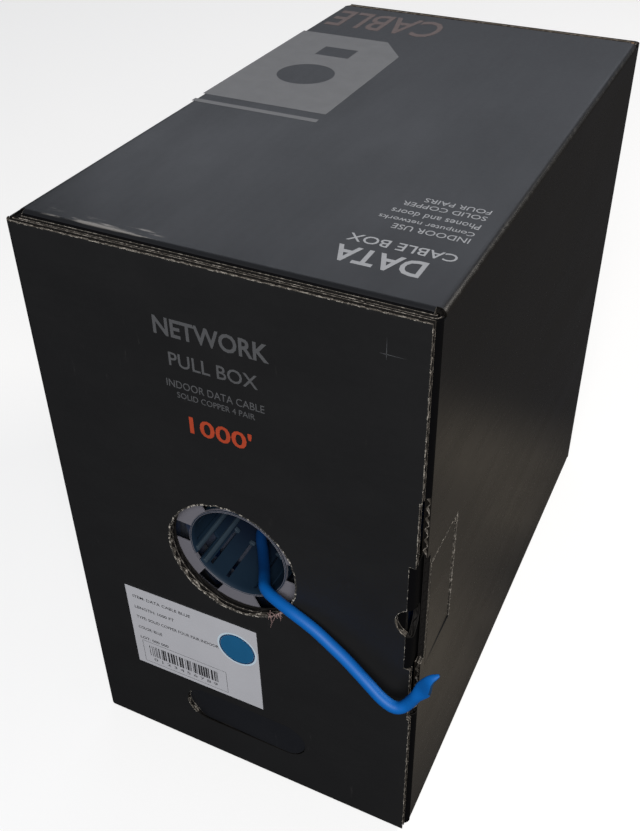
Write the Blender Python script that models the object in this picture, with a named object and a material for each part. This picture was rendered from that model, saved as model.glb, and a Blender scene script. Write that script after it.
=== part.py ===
"""A cable pull box: a printed corrugated carton that pays network cable out through its front.

Origin: centre of the underside. +X right, +Y to the back, +Z up. Metres.
The carton's walls run around the Y axis. The front is closed by flaps, the outermost of which is a
door creased to the left wall and tucked in at the right. Inside stands a coil wound about X, with a
payout tube in its radial hole.
"""

import math

import bmesh
import bpy
from mathutils import Matrix, Vector

MM = 0.001

# ---------------------------------------------------------------- driving dimensions
BODY_WIDTH = 203 * MM
BODY_DEPTH = 357 * MM
BODY_HEIGHT = 345 * MM
BOARD = 3.0 * MM
FOLD_INNER_RADIUS = 0.6 * MM
TOUCH = 0.3 * MM

DOOR_STANDOFF = 5.6 * MM
DOOR_BACK_GAP = 0.5 * MM
DOOR_EDGE_INSET = 1.8 * MM
DOOR_SLOT_STEP = 1.0 * MM
DOOR_TRIM = 1.4 * MM

SLOT_RISE = 5.5 * MM  # rises are measured from half the carton's height
SLOT_LENGTH = 150 * MM
SLOT_REACH = 7.5 * MM
TAB_LENGTH = 24 * MM
TAB_HEIGHT = 70 * MM
TAB_TIP_CLEARANCE = 2 * MM
TAB_CHAMFER = 12 * MM
TAB_ZONE_DEPTH = 6 * MM
TAB_ZONE_MARGIN = 2 * MM
THUMB_RADIUS = 9.8 * MM
THUMB_RISE = 2.5 * MM

PAYOUT_OFFSET = 0.8 * MM
PAYOUT_RISE = 1.7 * MM
PAYOUT_HOLE_RADIUS = 36.2 * MM

TUBE_INNER_RADIUS = 26.5 * MM
TUBE_WALL = 1.6 * MM
TUBE_LENGTH = 83 * MM
TUBE_LIP = 0.8 * MM
FLANGE_RADIUS = 47 * MM
FLANGE_THICKNESS = 2.4 * MM
FINGER_COUNT = 6
FINGER_FIRST_DEG = 176
FINGER_HALF_DEG = 12
FINGER_SLOT_WIDTH = 1.8 * MM
FINGER_START = 3.2 * MM
FINGER_LENGTH = 26 * MM
WINDOW_WIDTH = 12 * MM
WINDOW_HEIGHT = 9.7 * MM
KEY_ANGLES_DEG = (206, 26)
KEY_SLOT_WIDTH = 4.4 * MM
KEY_SLOT_LENGTH = 17 * MM
KEY_NOTCH = 3 * MM
KEY_RIB_OFFSET_DEG = 9.5
KEY_RIB_WIDTH = 2.6 * MM
KEY_RIB_HEIGHT = 1.3 * MM

COIL_BUILD_UP = 77 * MM
COIL_SIDE_CLEARANCE = 6.5 * MM
COIL_TOP_CLEARANCE = 3.3 * MM
COIL_FRONT_CLEARANCE = 6.1 * MM
COIL_BACK_CLEARANCE = 1.7 * MM
COIL_HOLE_CLEARANCE = 1.9 * MM
WRAP_THICKNESS = 0.4 * MM
WRAP_SIDE_MARGIN = 2 * MM

HAND_HOLE_WIDTH = 78 * MM
HAND_HOLE_HEIGHT = 26 * MM
HAND_HOLE_CENTRE = 41.5 * MM
HAND_HOLE_RELIEF = 4 * MM
DIE_CUT = 0.4 * MM

LOCK_FLAP_WIDTH = 35 * MM
LOCK_FLAP_HEIGHT = 74 * MM
LOCK_FLAP_SETBACK = 8 * MM
LOCK_FLAP_RISE = -2.5 * MM

DUST_FLAP_CLEARANCE = 25.8 * MM
DUST_FLAP_SIDE_GAP = 1.2 * MM
FLAP_FREE_EDGE_GAP = 2 * MM
GLUE_TAB_WIDTH = 32 * MM

LABEL_WIDTH = 83.5 * MM
LABEL_HEIGHT = 65 * MM
LABEL_THICKNESS = 0.2 * MM
LABEL_OFFSET = -29 * MM
LABEL_CENTRE_HEIGHT = 93.4 * MM
LABEL_TILT_DEG = 0.7

CABLE_DIAMETER = 6.2 * MM
CABLE_STEP = 14 * MM

ARC_STEPS = 6
HOLE_STEPS = 48
RING_STEPS = 72

# ---------------------------------------------------------------- derived places
HALF_WIDTH = BODY_WIDTH / 2
HALF_HEIGHT = BODY_HEIGHT / 2
FOLD_RADIUS = BOARD + FOLD_INNER_RADIUS
BACK_Y = (BODY_DEPTH + DOOR_STANDOFF + TOUCH + LABEL_THICKNESS) / 2
CORNER_Y = BACK_Y - BODY_DEPTH
DOOR_OUTER_Y = CORNER_Y - DOOR_STANDOFF
DOOR_INNER_Y = DOOR_OUTER_Y + BOARD
FLAP_OUTER_Y = DOOR_INNER_Y + DOOR_BACK_GAP
FLAP_INNER_Y = FLAP_OUTER_Y + BOARD
DUST_OUTER_Y = FLAP_INNER_Y + TOUCH
FLANGE_Y = FLAP_INNER_Y + TOUCH
BACK_FLAP_Y = BACK_Y - BOARD - TOUCH
BACK_DUST_Y = BACK_FLAP_Y - BOARD - TOUCH
WALL_INNER_X = HALF_WIDTH - BOARD
DOOR_RIGHT_X = HALF_WIDTH - DOOR_EDGE_INSET
TAB_OUTER_X = DOOR_RIGHT_X - DOOR_SLOT_STEP
DOOR_TOP_Z = BODY_HEIGHT - DOOR_TRIM
PAYOUT_HEIGHT = HALF_HEIGHT + PAYOUT_RISE
THUMB_HEIGHT = HALF_HEIGHT + THUMB_RISE
SLOT_CENTRE_HEIGHT = HALF_HEIGHT + SLOT_RISE
SLOT_LOW_Z = SLOT_CENTRE_HEIGHT - SLOT_LENGTH / 2
SLOT_HIGH_Z = SLOT_CENTRE_HEIGHT + SLOT_LENGTH / 2
DUST_FLAP_LENGTH = HALF_HEIGHT - PAYOUT_RISE - FLANGE_RADIUS - DUST_FLAP_CLEARANCE
TUBE_OUTER_RADIUS = TUBE_INNER_RADIUS + TUBE_WALL
COIL_HALF_WIDTH = WALL_INNER_X - COIL_SIDE_CLEARANCE
COIL_FRONT_Y = DUST_OUTER_Y + BOARD + COIL_FRONT_CLEARANCE
COIL_BACK_Y = BACK_DUST_Y - BOARD - COIL_BACK_CLEARANCE
COIL_LOW_Z = BOARD + TOUCH
COIL_HIGH_Z = BODY_HEIGHT - BOARD - COIL_TOP_CLEARANCE
WRAP_RADIUS = min(COIL_BACK_Y - COIL_FRONT_Y, COIL_HIGH_Z - COIL_LOW_Z) / 2
COIL_RADIUS = WRAP_RADIUS - WRAP_THICKNESS - TOUCH
COIL_CORE_RADIUS = COIL_RADIUS - COIL_BUILD_UP
COIL_Y = COIL_FRONT_Y + WRAP_RADIUS
COIL_Z = COIL_LOW_Z + WRAP_RADIUS
CABLE_RADIUS = CABLE_DIAMETER / 2


# ---------------------------------------------------------------- materials
def material(name, colour, roughness, metallic=0.0):
    made = bpy.data.materials.new(name)
    made.use_nodes = True
    shader = made.node_tree.nodes["Principled BSDF"]
    shader.inputs["Base Color"].default_value = (*colour, 1.0)
    shader.inputs["Roughness"].default_value = roughness
    shader.inputs["Metallic"].default_value = metallic
    return made


# ---------------------------------------------------------------- outlines, as lists of (u, v)
def rectangle(low_u, low_v, high_u, high_v):
    return [(low_u, low_v), (high_u, low_v), (high_u, high_v), (low_u, high_v)]


def arc(centre_u, centre_v, radius, start_deg, end_deg, steps=ARC_STEPS):
    points = []
    for i in range(steps + 1):
        angle = math.radians(start_deg + (end_deg - start_deg) * i / steps)
        points.append((centre_u + radius * math.cos(angle), centre_v + radius * math.sin(angle)))
    return points


def circle(centre_u, centre_v, radius, steps=HOLE_STEPS):
    return arc(centre_u, centre_v, radius, 0, 360, steps)[:-1]


def stadium(centre_u, centre_v, width, height, steps=12):
    reach = (width - height) / 2
    right = arc(centre_u + reach, centre_v, height / 2, -90, 90, steps)
    left = arc(centre_u - reach, centre_v, height / 2, 90, 270, steps)
    return right + left


# ---------------------------------------------------------------- solids
def place(u, v, w, axis):
    """A point at (u, v) in the plane across the axis, w along it. The plane's axes stay in X, Y, Z order."""
    if axis == "X":
        return Vector((w, u, v))
    if axis == "Y":
        return Vector((u, w, v))
    return Vector((u, v, w))


def add_prism(mesh, outline, axis, low, high):
    """Adds a closed prism: the outline carried along the axis from low to high."""
    start = [mesh.verts.new(place(u, v, low, axis)) for u, v in outline]
    face = mesh.faces.new(start)
    swept = bmesh.ops.extrude_face_region(mesh, geom=[face])["geom"]
    moved = [item for item in swept if isinstance(item, bmesh.types.BMVert)]
    bmesh.ops.translate(mesh, verts=moved, vec=place(0, 0, high - low, axis))


def finish(name, mesh, finish_material=None, smooth=False):
    """Turns a bmesh into a named object with its faces pointing outwards."""
    bmesh.ops.recalc_face_normals(mesh, faces=mesh.faces)
    data = bpy.data.meshes.new(name)
    mesh.to_mesh(data)
    mesh.free()
    made = bpy.data.objects.new(name, data)
    bpy.context.scene.collection.objects.link(made)
    if finish_material:
        data.materials.append(finish_material)
    if smooth:
        data.shade_smooth()
        data.set_sharp_from_angle(angle=math.radians(30))
    return made


def prism(name, outline, axis, low, high, finish_material=None):
    mesh = bmesh.new()
    add_prism(mesh, outline, axis, low, high)
    return finish(name, mesh, finish_material)


def turned(name, profile, axis, centre, finish_material, steps=RING_STEPS):
    """A profile of (radius, distance along the axis) turned once round the axis through the centre."""
    mesh = bmesh.new()
    direction = place(0, 0, 1, axis)
    ring = [mesh.verts.new(centre + place(radius, 0, along, axis)) for radius, along in profile]
    edges = [mesh.edges.new((ring[i], ring[(i + 1) % len(ring)])) for i in range(len(ring))]
    bmesh.ops.spin(
        mesh, geom=ring + edges, cent=centre, axis=direction, angle=math.tau, steps=steps, use_merge=True
    )
    bmesh.ops.remove_doubles(mesh, verts=mesh.verts, dist=0.001 * MM)
    return finish(name, mesh, finish_material, smooth=True)


def combine(target, tool, operation="DIFFERENCE"):
    """Cuts the tool from the target, or joins it to the target, and keeps the tool out of the model."""
    boolean = target.modifiers.new(tool.name, "BOOLEAN")
    boolean.operation = operation
    boolean.solver = "EXACT"
    boolean.object = tool
    tool.hide_render = True
    tool.display_type = "WIRE"


def hole(targets, name, outline, axis, low, high):
    tool = prism(name, outline, axis, low, high)
    for target in targets:
        combine(target, tool)


# ---------------------------------------------------------------- carton sleeve
def wall_plate(name, low, high, board):
    outline = rectangle(low[0], low[1], high[0], high[1])
    return prism(name, outline, "Z", low[2], high[2], board)


def folded_end(sign_u, face_v, inward_v, corner_u):
    """The points of a quarter-round fold, from the side wall's outer face to the end face.

    sign_u is the side of the wall, face_v the outer face of what it folds into, inward_v the sign of
    the way into the carton, and corner_u the wall's outer face.
    """
    centre_u = corner_u - sign_u * FOLD_RADIUS
    centre_v = face_v + inward_v * FOLD_RADIUS
    outer = []
    inner = []
    for i in range(ARC_STEPS + 1):
        angle = math.pi / 2 * i / ARC_STEPS
        across = sign_u * math.cos(angle)
        along = -inward_v * math.sin(angle)
        outer.append((centre_u + FOLD_RADIUS * across, centre_v + FOLD_RADIUS * along))
        inner.append(
            (centre_u + (FOLD_RADIUS - BOARD) * across, centre_v + (FOLD_RADIUS - BOARD) * along)
        )
    return outer, inner


def folded_panel(name, sign_u, corner_u, low_face_v, high_face_v, axis, low, high, board):
    """A wall with a quarter-round fold at both ends, carried along the axis."""
    low_outer, low_inner = folded_end(sign_u, low_face_v, 1, corner_u)
    high_outer, high_inner = folded_end(sign_u, high_face_v, -1, corner_u)
    outline = low_outer[::-1] + high_outer + high_inner[::-1] + low_inner
    return prism(name, outline, axis, low, high, board)


def build_sleeve(board):
    """The four walls round the Y axis and the glue tab. Returns the right wall, which gets cut."""
    side_low = FOLD_RADIUS + TOUCH
    side_high = BODY_HEIGHT - FOLD_RADIUS - TOUCH
    right = folded_panel(
        "right_wall", 1, HALF_WIDTH, FLAP_OUTER_Y, BACK_Y, "Z", side_low, side_high, board
    )
    folded_panel("left_wall", -1, -HALF_WIDTH, DOOR_OUTER_Y, BACK_FLAP_Y, "Z", side_low, side_high, board)
    front_y = DUST_OUTER_Y + FOLD_RADIUS + TOUCH
    back_y = BACK_DUST_Y - FOLD_RADIUS - TOUCH
    for name, level, inward in (("top_wall", BODY_HEIGHT, -1), ("bottom_wall", 0.0, 1)):
        right_outer, right_inner = folded_end(1, level, inward, HALF_WIDTH)
        left_outer, left_inner = folded_end(-1, level, inward, -HALF_WIDTH)
        outline = right_outer + left_outer[::-1] + left_inner + right_inner[::-1]
        prism(name, outline, "Y", front_y, back_y, board)
    tab_x = -WALL_INNER_X + TOUCH
    wall_plate(
        "glue_tab",
        (tab_x, front_y + BOARD, BOARD + FOLD_RADIUS),
        (tab_x + BOARD, back_y - BOARD, BOARD + FOLD_RADIUS + GLUE_TAB_WIDTH),
        board,
    )
    return right


# ---------------------------------------------------------------- end flaps
def dust_flap(name, face_y, inward_y, level, inward_z, board):
    """A flap folded off the top or bottom wall, behind the side flaps."""
    centre_y = face_y + inward_y * FOLD_RADIUS
    centre_z = level + inward_z * FOLD_RADIUS
    outer = []
    inner = []
    for i in range(ARC_STEPS + 1):
        angle = math.pi / 2 * i / ARC_STEPS
        ahead = -inward_y * math.sin(angle)
        above = -inward_z * math.cos(angle)
        outer.append((centre_y + FOLD_RADIUS * ahead, centre_z + FOLD_RADIUS * above))
        inner.append(
            (centre_y + (FOLD_RADIUS - BOARD) * ahead, centre_z + (FOLD_RADIUS - BOARD) * above)
        )
    end_z = level + inward_z * DUST_FLAP_LENGTH
    free_end = [(face_y, end_z), (face_y + inward_y * BOARD, end_z)]
    reach = WALL_INNER_X - DUST_FLAP_SIDE_GAP
    return prism(name, outer + free_end + inner[::-1], "X", -reach, reach, board)


def side_flap(name, face_y, inward_y, hinge_sign, board):
    """A flat flap that reaches from one side wall's fold to just short of the other wall."""
    hinge_x = hinge_sign * (HALF_WIDTH - FOLD_RADIUS - TOUCH)
    free_x = -hinge_sign * (WALL_INNER_X - FLAP_FREE_EDGE_GAP)
    low_y, high_y = sorted((face_y, face_y + inward_y * BOARD))
    low_x, high_x = sorted((hinge_x, free_x))
    return wall_plate(name, (low_x, low_y, DOOR_TRIM), (high_x, high_y, DOOR_TOP_Z), board)


def build_back(board):
    dust_flap("back_top_dust_flap", BACK_DUST_Y, -1, BODY_HEIGHT, -1, board)
    dust_flap("back_bottom_dust_flap", BACK_DUST_Y, -1, 0.0, 1, board)
    side_flap("back_inner_flap", BACK_FLAP_Y, -1, -1, board)
    wall_plate(
        "back_outer_panel",
        (-HALF_WIDTH + DOOR_EDGE_INSET, BACK_Y - BOARD, DOOR_TRIM),
        (HALF_WIDTH - FOLD_RADIUS - TOUCH, BACK_Y, DOOR_TOP_Z),
        board,
    )


def build_front(right_wall, board):
    dust_flap("front_top_dust_flap", DUST_OUTER_Y, 1, BODY_HEIGHT, -1, board)
    lower_dust = dust_flap("front_bottom_dust_flap", DUST_OUTER_Y, 1, 0.0, 1, board)
    inner = side_flap("front_inner_flap", FLAP_OUTER_Y, 1, 1, board)

    payout = circle(PAYOUT_OFFSET, PAYOUT_HEIGHT, PAYOUT_HOLE_RADIUS)
    hole([inner], "cut_flap_payout", payout, "Y", FLAP_OUTER_Y - BOARD, FLAP_INNER_Y + BOARD)
    relief = stadium(
        0, HAND_HOLE_CENTRE, HAND_HOLE_WIDTH + 2 * HAND_HOLE_RELIEF, HAND_HOLE_HEIGHT + 2 * HAND_HOLE_RELIEF
    )
    hole([inner, lower_dust], "cut_hand_relief", relief, "Y", FLAP_OUTER_Y - BOARD, DUST_OUTER_Y + 2 * BOARD)

    slot = rectangle(HALF_WIDTH - SLOT_REACH, DOOR_OUTER_Y, HALF_WIDTH + BOARD, FLAP_INNER_Y + TOUCH)
    hole([inner, right_wall], "cut_slot", slot, "Z", SLOT_LOW_Z, SLOT_HIGH_Z)
    zone = rectangle(HALF_WIDTH - SLOT_REACH, DOOR_OUTER_Y, HALF_WIDTH + BOARD, CORNER_Y + TAB_ZONE_DEPTH)
    half_zone = TAB_HEIGHT / 2 + TAB_ZONE_MARGIN
    hole(
        [right_wall], "cut_tab_zone", zone, "Z", SLOT_CENTRE_HEIGHT - half_zone, SLOT_CENTRE_HEIGHT + half_zone
    )


def build_door(board):
    outline = [
        (-HALF_WIDTH + FOLD_RADIUS + TOUCH, DOOR_TRIM),
        (DOOR_RIGHT_X, DOOR_TRIM),
        (DOOR_RIGHT_X, SLOT_LOW_Z),
        (TAB_OUTER_X, SLOT_LOW_Z),
        (TAB_OUTER_X, SLOT_HIGH_Z),
        (DOOR_RIGHT_X, SLOT_HIGH_Z),
        (DOOR_RIGHT_X, DOOR_TOP_Z),
        (-HALF_WIDTH + FOLD_RADIUS + TOUCH, DOOR_TOP_Z),
    ]
    door = prism("front_door", outline, "Y", DOOR_OUTER_Y, DOOR_INNER_Y, board)
    front = DOOR_OUTER_Y - BOARD
    behind = DOOR_INNER_Y + BOARD
    payout = circle(PAYOUT_OFFSET, PAYOUT_HEIGHT, PAYOUT_HOLE_RADIUS)
    hole([door], "cut_door_payout", payout, "Y", front, behind)
    hand = stadium(0, HAND_HOLE_CENTRE, HAND_HOLE_WIDTH, HAND_HOLE_HEIGHT)
    hole([door], "cut_hand_hole", hand, "Y", front, behind)
    thumb = circle(DOOR_RIGHT_X, THUMB_HEIGHT, THUMB_RADIUS, 32)
    hole([door], "cut_thumb", thumb, "Y", front, behind)

    flap = stadium(
        0, HAND_HOLE_CENTRE, HAND_HOLE_WIDTH - 2 * DIE_CUT, HAND_HOLE_HEIGHT - 2 * DIE_CUT
    )
    prism("hand_hole_flap", flap, "Y", DOOR_OUTER_Y, DOOR_INNER_Y, board)

    root_y = DOOR_INNER_Y + TOUCH
    tip_y = DOOR_OUTER_Y + TAB_LENGTH
    tip_x = WALL_INNER_X - TAB_TIP_CLEARANCE
    tab_outline = [
        (TAB_OUTER_X, root_y),
        (tip_x, tip_y),
        (tip_x - BOARD, tip_y),
        (TAB_OUTER_X - BOARD, root_y),
    ]
    low_z = SLOT_CENTRE_HEIGHT - TAB_HEIGHT / 2
    high_z = SLOT_CENTRE_HEIGHT + TAB_HEIGHT / 2
    tab = prism("door_tuck_tab", tab_outline, "Z", low_z, high_z, board)
    for name, corner_z, inward in (("cut_tab_low", low_z, 1), ("cut_tab_high", high_z, -1)):
        corner = [
            (tip_y - TAB_CHAMFER, corner_z),
            (tip_y - TAB_CHAMFER, corner_z - inward * BOARD),
            (tip_y + BOARD, corner_z - inward * BOARD),
            (tip_y + BOARD, corner_z + inward * (TAB_CHAMFER + BOARD)),
        ]
        hole([tab], name, corner, "X", HALF_WIDTH - 5 * BOARD, HALF_WIDTH + BOARD)
    thumb_side = circle(DOOR_OUTER_Y, THUMB_HEIGHT, THUMB_RADIUS, 32)
    hole([tab], "cut_tab_thumb", thumb_side, "X", HALF_WIDTH - 5 * BOARD, HALF_WIDTH + BOARD)


def build_lock_flap(right_wall, board):
    """The die-cut flap in the right wall beside the tuck tab, creased along its front edge."""
    low_y = CORNER_Y + LOCK_FLAP_SETBACK
    high_y = low_y + LOCK_FLAP_WIDTH
    low_z = HALF_HEIGHT + LOCK_FLAP_RISE - LOCK_FLAP_HEIGHT / 2
    high_z = HALF_HEIGHT + LOCK_FLAP_RISE + LOCK_FLAP_HEIGHT / 2
    window = rectangle(low_y, low_z, high_y, high_z)
    hole([right_wall], "cut_lock_flap", window, "X", HALF_WIDTH - 2 * BOARD, HALF_WIDTH + BOARD)
    flap = rectangle(low_y + DIE_CUT, low_z + DIE_CUT, high_y - DIE_CUT, high_z - DIE_CUT)
    prism("side_lock_flap", flap, "X", WALL_INNER_X, HALF_WIDTH, board)


def build_label(paper):
    """A thin shipping label on the door, a little out of level as labels are stuck on."""
    turn = Matrix.Rotation(math.radians(LABEL_TILT_DEG), 2)
    outline = []
    for u, v in rectangle(-LABEL_WIDTH / 2, -LABEL_HEIGHT / 2, LABEL_WIDTH / 2, LABEL_HEIGHT / 2):
        corner = turn @ Vector((u, v))
        outline.append((LABEL_OFFSET + corner.x, LABEL_CENTRE_HEIGHT + corner.y))
    back = DOOR_OUTER_Y - TOUCH
    prism("shipping_label", outline, "Y", back - LABEL_THICKNESS, back, paper)


# ---------------------------------------------------------------- payout tube
def radial_bar(mesh, angle_deg, half_width, near, far, low, high):
    """Adds a bar that runs along Y at an angle about the tube's axis, from radius near to far."""
    angle = math.radians(angle_deg)
    out = Vector((math.cos(angle), math.sin(angle)))
    side = Vector((-out.y, out.x))
    centre = Vector((PAYOUT_OFFSET, PAYOUT_HEIGHT))
    corners = [
        centre + out * near - side * half_width,
        centre + out * far - side * half_width,
        centre + out * far + side * half_width,
        centre + out * near + side * half_width,
    ]
    add_prism(mesh, [(corner.x, corner.y) for corner in corners], "Y", low, high)


def build_payout_tube(plastic):
    """A flanged tube whose wall is cut into sprung fingers behind windows in the flange."""
    centre = Vector((PAYOUT_OFFSET, FLANGE_Y, PAYOUT_HEIGHT))
    profile = [
        (TUBE_INNER_RADIUS, -TUBE_LIP),
        (TUBE_OUTER_RADIUS, -TUBE_LIP),
        (TUBE_OUTER_RADIUS, 0),
        (FLANGE_RADIUS, 0),
        (FLANGE_RADIUS, FLANGE_THICKNESS),
        (TUBE_OUTER_RADIUS, FLANGE_THICKNESS),
        (TUBE_OUTER_RADIUS, TUBE_LENGTH),
        (TUBE_INNER_RADIUS, TUBE_LENGTH),
    ]
    tube = turned("payout_tube", profile, "Y", centre, plastic)

    ribs = bmesh.new()
    for key in KEY_ANGLES_DEG:
        for side in (-1, 1):
            radial_bar(
                ribs,
                key + side * KEY_RIB_OFFSET_DEG,
                KEY_RIB_WIDTH / 2,
                TUBE_INNER_RADIUS - KEY_RIB_HEIGHT,
                TUBE_INNER_RADIUS + TUBE_WALL / 2,
                FLANGE_Y + TOUCH,
                FLANGE_Y + TUBE_LENGTH - TOUCH,
            )
    combine(tube, finish("join_key_ribs", ribs), "UNION")

    cuts = bmesh.new()
    for i in range(FINGER_COUNT):
        middle = FINGER_FIRST_DEG + i * 360 / FINGER_COUNT
        window_low = TUBE_OUTER_RADIUS + TOUCH / 2
        radial_bar(
            cuts,
            middle,
            WINDOW_WIDTH / 2,
            window_low,
            window_low + WINDOW_HEIGHT,
            FLANGE_Y - TUBE_WALL,
            FLANGE_Y + FLANGE_THICKNESS + TOUCH,
        )
        for side in (-1, 1):
            radial_bar(
                cuts,
                middle + side * FINGER_HALF_DEG,
                FINGER_SLOT_WIDTH / 2,
                TUBE_INNER_RADIUS - TUBE_WALL,
                TUBE_OUTER_RADIUS + TUBE_WALL,
                FLANGE_Y + FINGER_START,
                FLANGE_Y + FINGER_START + FINGER_LENGTH,
            )
    for key in KEY_ANGLES_DEG:
        radial_bar(
            cuts,
            key,
            KEY_SLOT_WIDTH / 2,
            TUBE_INNER_RADIUS - TUBE_WALL,
            TUBE_OUTER_RADIUS + KEY_NOTCH,
            FLANGE_Y - TUBE_WALL,
            FLANGE_Y + KEY_SLOT_LENGTH,
        )
    combine(tube, finish("cut_fingers", cuts))


# ---------------------------------------------------------------- coil
def build_coil(jacket, film):
    """The wound cable as one ring about X, and the film round it, both holed for the payout tube."""
    centre = Vector((0, COIL_Y, COIL_Z))
    half = COIL_HALF_WIDTH
    ring = [
        (COIL_CORE_RADIUS, -half),
        (COIL_CORE_RADIUS, half),
        (COIL_RADIUS, half),
        (COIL_RADIUS, -half),
    ]
    coil = turned("cable_coil", ring, "X", centre, jacket)
    wrap_half = half - WRAP_SIDE_MARGIN
    sheet = [
        (WRAP_RADIUS - WRAP_THICKNESS, -wrap_half),
        (WRAP_RADIUS - WRAP_THICKNESS, wrap_half),
        (WRAP_RADIUS, wrap_half),
        (WRAP_RADIUS, -wrap_half),
    ]
    wrap = turned("coil_wrap", sheet, "X", centre, film)
    radius = TUBE_OUTER_RADIUS + COIL_HOLE_CLEARANCE
    outline = circle(PAYOUT_OFFSET, PAYOUT_HEIGHT, radius)
    hole([coil, wrap], "cut_coil_payout", outline, "Y", COIL_Y - 2 * COIL_RADIUS, COIL_Y)


# ---------------------------------------------------------------- cable
# Route points are (x, distance behind the door's outer face, z). The feed runs up the coil's inner
# face and along the bottom of the tube. The lead hangs out over the hole's rim and curls up again.
FEED_ROUTE_MM = [
    (-3, 140.7, 96.7),
    (-4.5, 122.9, 110.3),
    (-5.8, 112.5, 123),
    (-6.8, 105, 138),
    (-7.3, 100.5, 147),
    (-7.6, 94, 152.8),
    (-7.6, 86, 154.3),
    (-7.6, 76, 153.4),
    (-7.6, 60, 153),
    (-6.9, 44, 152.7),
    (0.3, 32, 151.2),
    (6.5, 22, 152),
    (11, 14, 153.8),
    (13.3, 10, 155.1),
    (16, 6, 156.8),
    (20.3, 2.6, 158),
]
LEAD_ROUTE_MM = [
    (25.3, 0, 158.8),
    (30.8, -2.2, 159.2),
    (36.8, -4.2, 159),
    (44.5, -5.6, 157.2),
    (51.9, -6.6, 154.3),
    (60, -7.7, 149.8),
    (67.5, -8.6, 145.2),
    (75, -9.6, 139.8),
    (82.5, -11, 134.8),
    (89.3, -12.8, 131.4),
    (95.4, -13.3, 129.2),
    (99.6, -12.5, 129.7),
    (103.2, -11.1, 134),
    (108.3, -11.5, 145),
    (114.1, -13.5, 157.3),
]


def smooth_route(points, step):
    """Points about one step apart on a Catmull-Rom curve through the route's points."""
    ends = [2 * points[0] - points[1], *points, 2 * points[-1] - points[-2]]
    line = []
    for i in range(1, len(ends) - 2):
        before, start, stop, after = ends[i - 1 : i + 3]
        count = max(1, round((stop - start).length / step))
        for j in range(count):
            t = j / count
            line.append(
                0.5
                * (
                    2 * start
                    + (stop - before) * t
                    + (2 * before - 5 * start + 4 * stop - after) * t**2
                    + (3 * start - before - 3 * stop + after) * t**3
                )
            )
    return [*line, points[-1]]


def route_points(route_mm):
    return [Vector((x * MM, DOOR_OUTER_Y + y * MM, z * MM)) for x, y, z in route_mm]


def cable(name, line, jacket):
    data = bpy.data.curves.new(name, "CURVE")
    data.dimensions = "3D"
    data.bevel_depth = CABLE_RADIUS
    data.bevel_resolution = 2
    data.use_fill_caps = True
    spline = data.splines.new("POLY")
    spline.points.add(len(line) - 1)
    for point, position in zip(spline.points, line):
        point.co = (*position, 1.0)
    data.materials.append(jacket)
    made = bpy.data.objects.new(name, data)
    bpy.context.scene.collection.objects.link(made)


def build_cable(jacket):
    """The feed inside and the lead outside, which face each other where the cable leaves the tube."""
    feed = route_points(FEED_ROUTE_MM)
    lead = route_points(LEAD_ROUTE_MM)
    outward = (lead[1] - feed[-1]).normalized()
    straight = outward * CABLE_RADIUS
    gap = outward * TOUCH / 2
    cable("cable_feed", [*smooth_route(feed, CABLE_STEP), lead[0] - straight, lead[0] - gap], jacket)
    cable("cable_lead", [lead[0] + gap, lead[0] + straight, *smooth_route(lead[1:], CABLE_STEP)], jacket)


def main():
    for item in list(bpy.data.objects):
        bpy.data.objects.remove(item)
    board = material("printed_board", (0.012, 0.012, 0.013), 0.5)
    paper = material("label_paper", (0.55, 0.56, 0.58), 0.55)
    plastic = material("tube_plastic", (0.16, 0.17, 0.2), 0.45)
    jacket = material("cable_jacket", (0.01, 0.12, 0.5), 0.4)
    film = material("wrap_film", (0.6, 0.62, 0.65), 0.2)

    right_wall = build_sleeve(board)
    build_back(board)
    build_front(right_wall, board)
    build_door(board)
    build_lock_flap(right_wall, board)
    build_label(paper)
    build_payout_tube(plastic)
    build_coil(jacket, film)
    build_cable(jacket)


main()
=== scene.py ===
"""The look of a cable pull box: corrugated board, print, label, payout tube, coil and cable.

Origin: centre of the underside. +X right, +Y to the back, +Z up. Metres. Board is made flat, as a
blank in (u, v), and then folded: u runs along the fold's profile, v along its crease, and w goes
from the printed face into the board.
"""

from __future__ import annotations

import logging
import math
from dataclasses import dataclass, field
from enum import Enum, IntEnum
from typing import Callable, Mapping, Sequence, Union

import bmesh
import bpy
import numpy as np
from mathutils import Matrix, Vector
from mathutils.geometry import delaunay_2d_cdt

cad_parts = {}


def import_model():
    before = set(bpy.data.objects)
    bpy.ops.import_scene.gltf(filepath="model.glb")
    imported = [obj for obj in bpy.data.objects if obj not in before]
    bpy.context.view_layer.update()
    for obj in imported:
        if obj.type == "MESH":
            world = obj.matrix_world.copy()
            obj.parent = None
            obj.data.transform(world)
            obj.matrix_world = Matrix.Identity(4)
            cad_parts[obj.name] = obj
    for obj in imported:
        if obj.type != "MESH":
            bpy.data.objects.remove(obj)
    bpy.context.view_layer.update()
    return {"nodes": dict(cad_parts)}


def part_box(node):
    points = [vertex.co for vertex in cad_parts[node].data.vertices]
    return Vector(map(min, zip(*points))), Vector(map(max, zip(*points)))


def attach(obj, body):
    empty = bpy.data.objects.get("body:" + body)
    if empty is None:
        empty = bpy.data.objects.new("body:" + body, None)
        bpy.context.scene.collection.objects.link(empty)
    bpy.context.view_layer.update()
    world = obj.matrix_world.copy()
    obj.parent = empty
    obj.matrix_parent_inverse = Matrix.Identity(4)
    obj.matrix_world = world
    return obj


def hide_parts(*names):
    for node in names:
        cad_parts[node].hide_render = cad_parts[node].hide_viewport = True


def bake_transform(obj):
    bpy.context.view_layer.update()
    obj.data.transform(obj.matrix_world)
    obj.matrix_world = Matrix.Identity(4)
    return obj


LOG = logging.getLogger("pull_box")
MM = 0.001
Array = np.ndarray
Colour = tuple[float, float, float]
Point = tuple[float, float, float]
Material = bpy.types.Material
Piece = bpy.types.Object
Value = Union["Signal", float, Sequence[float]]


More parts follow.
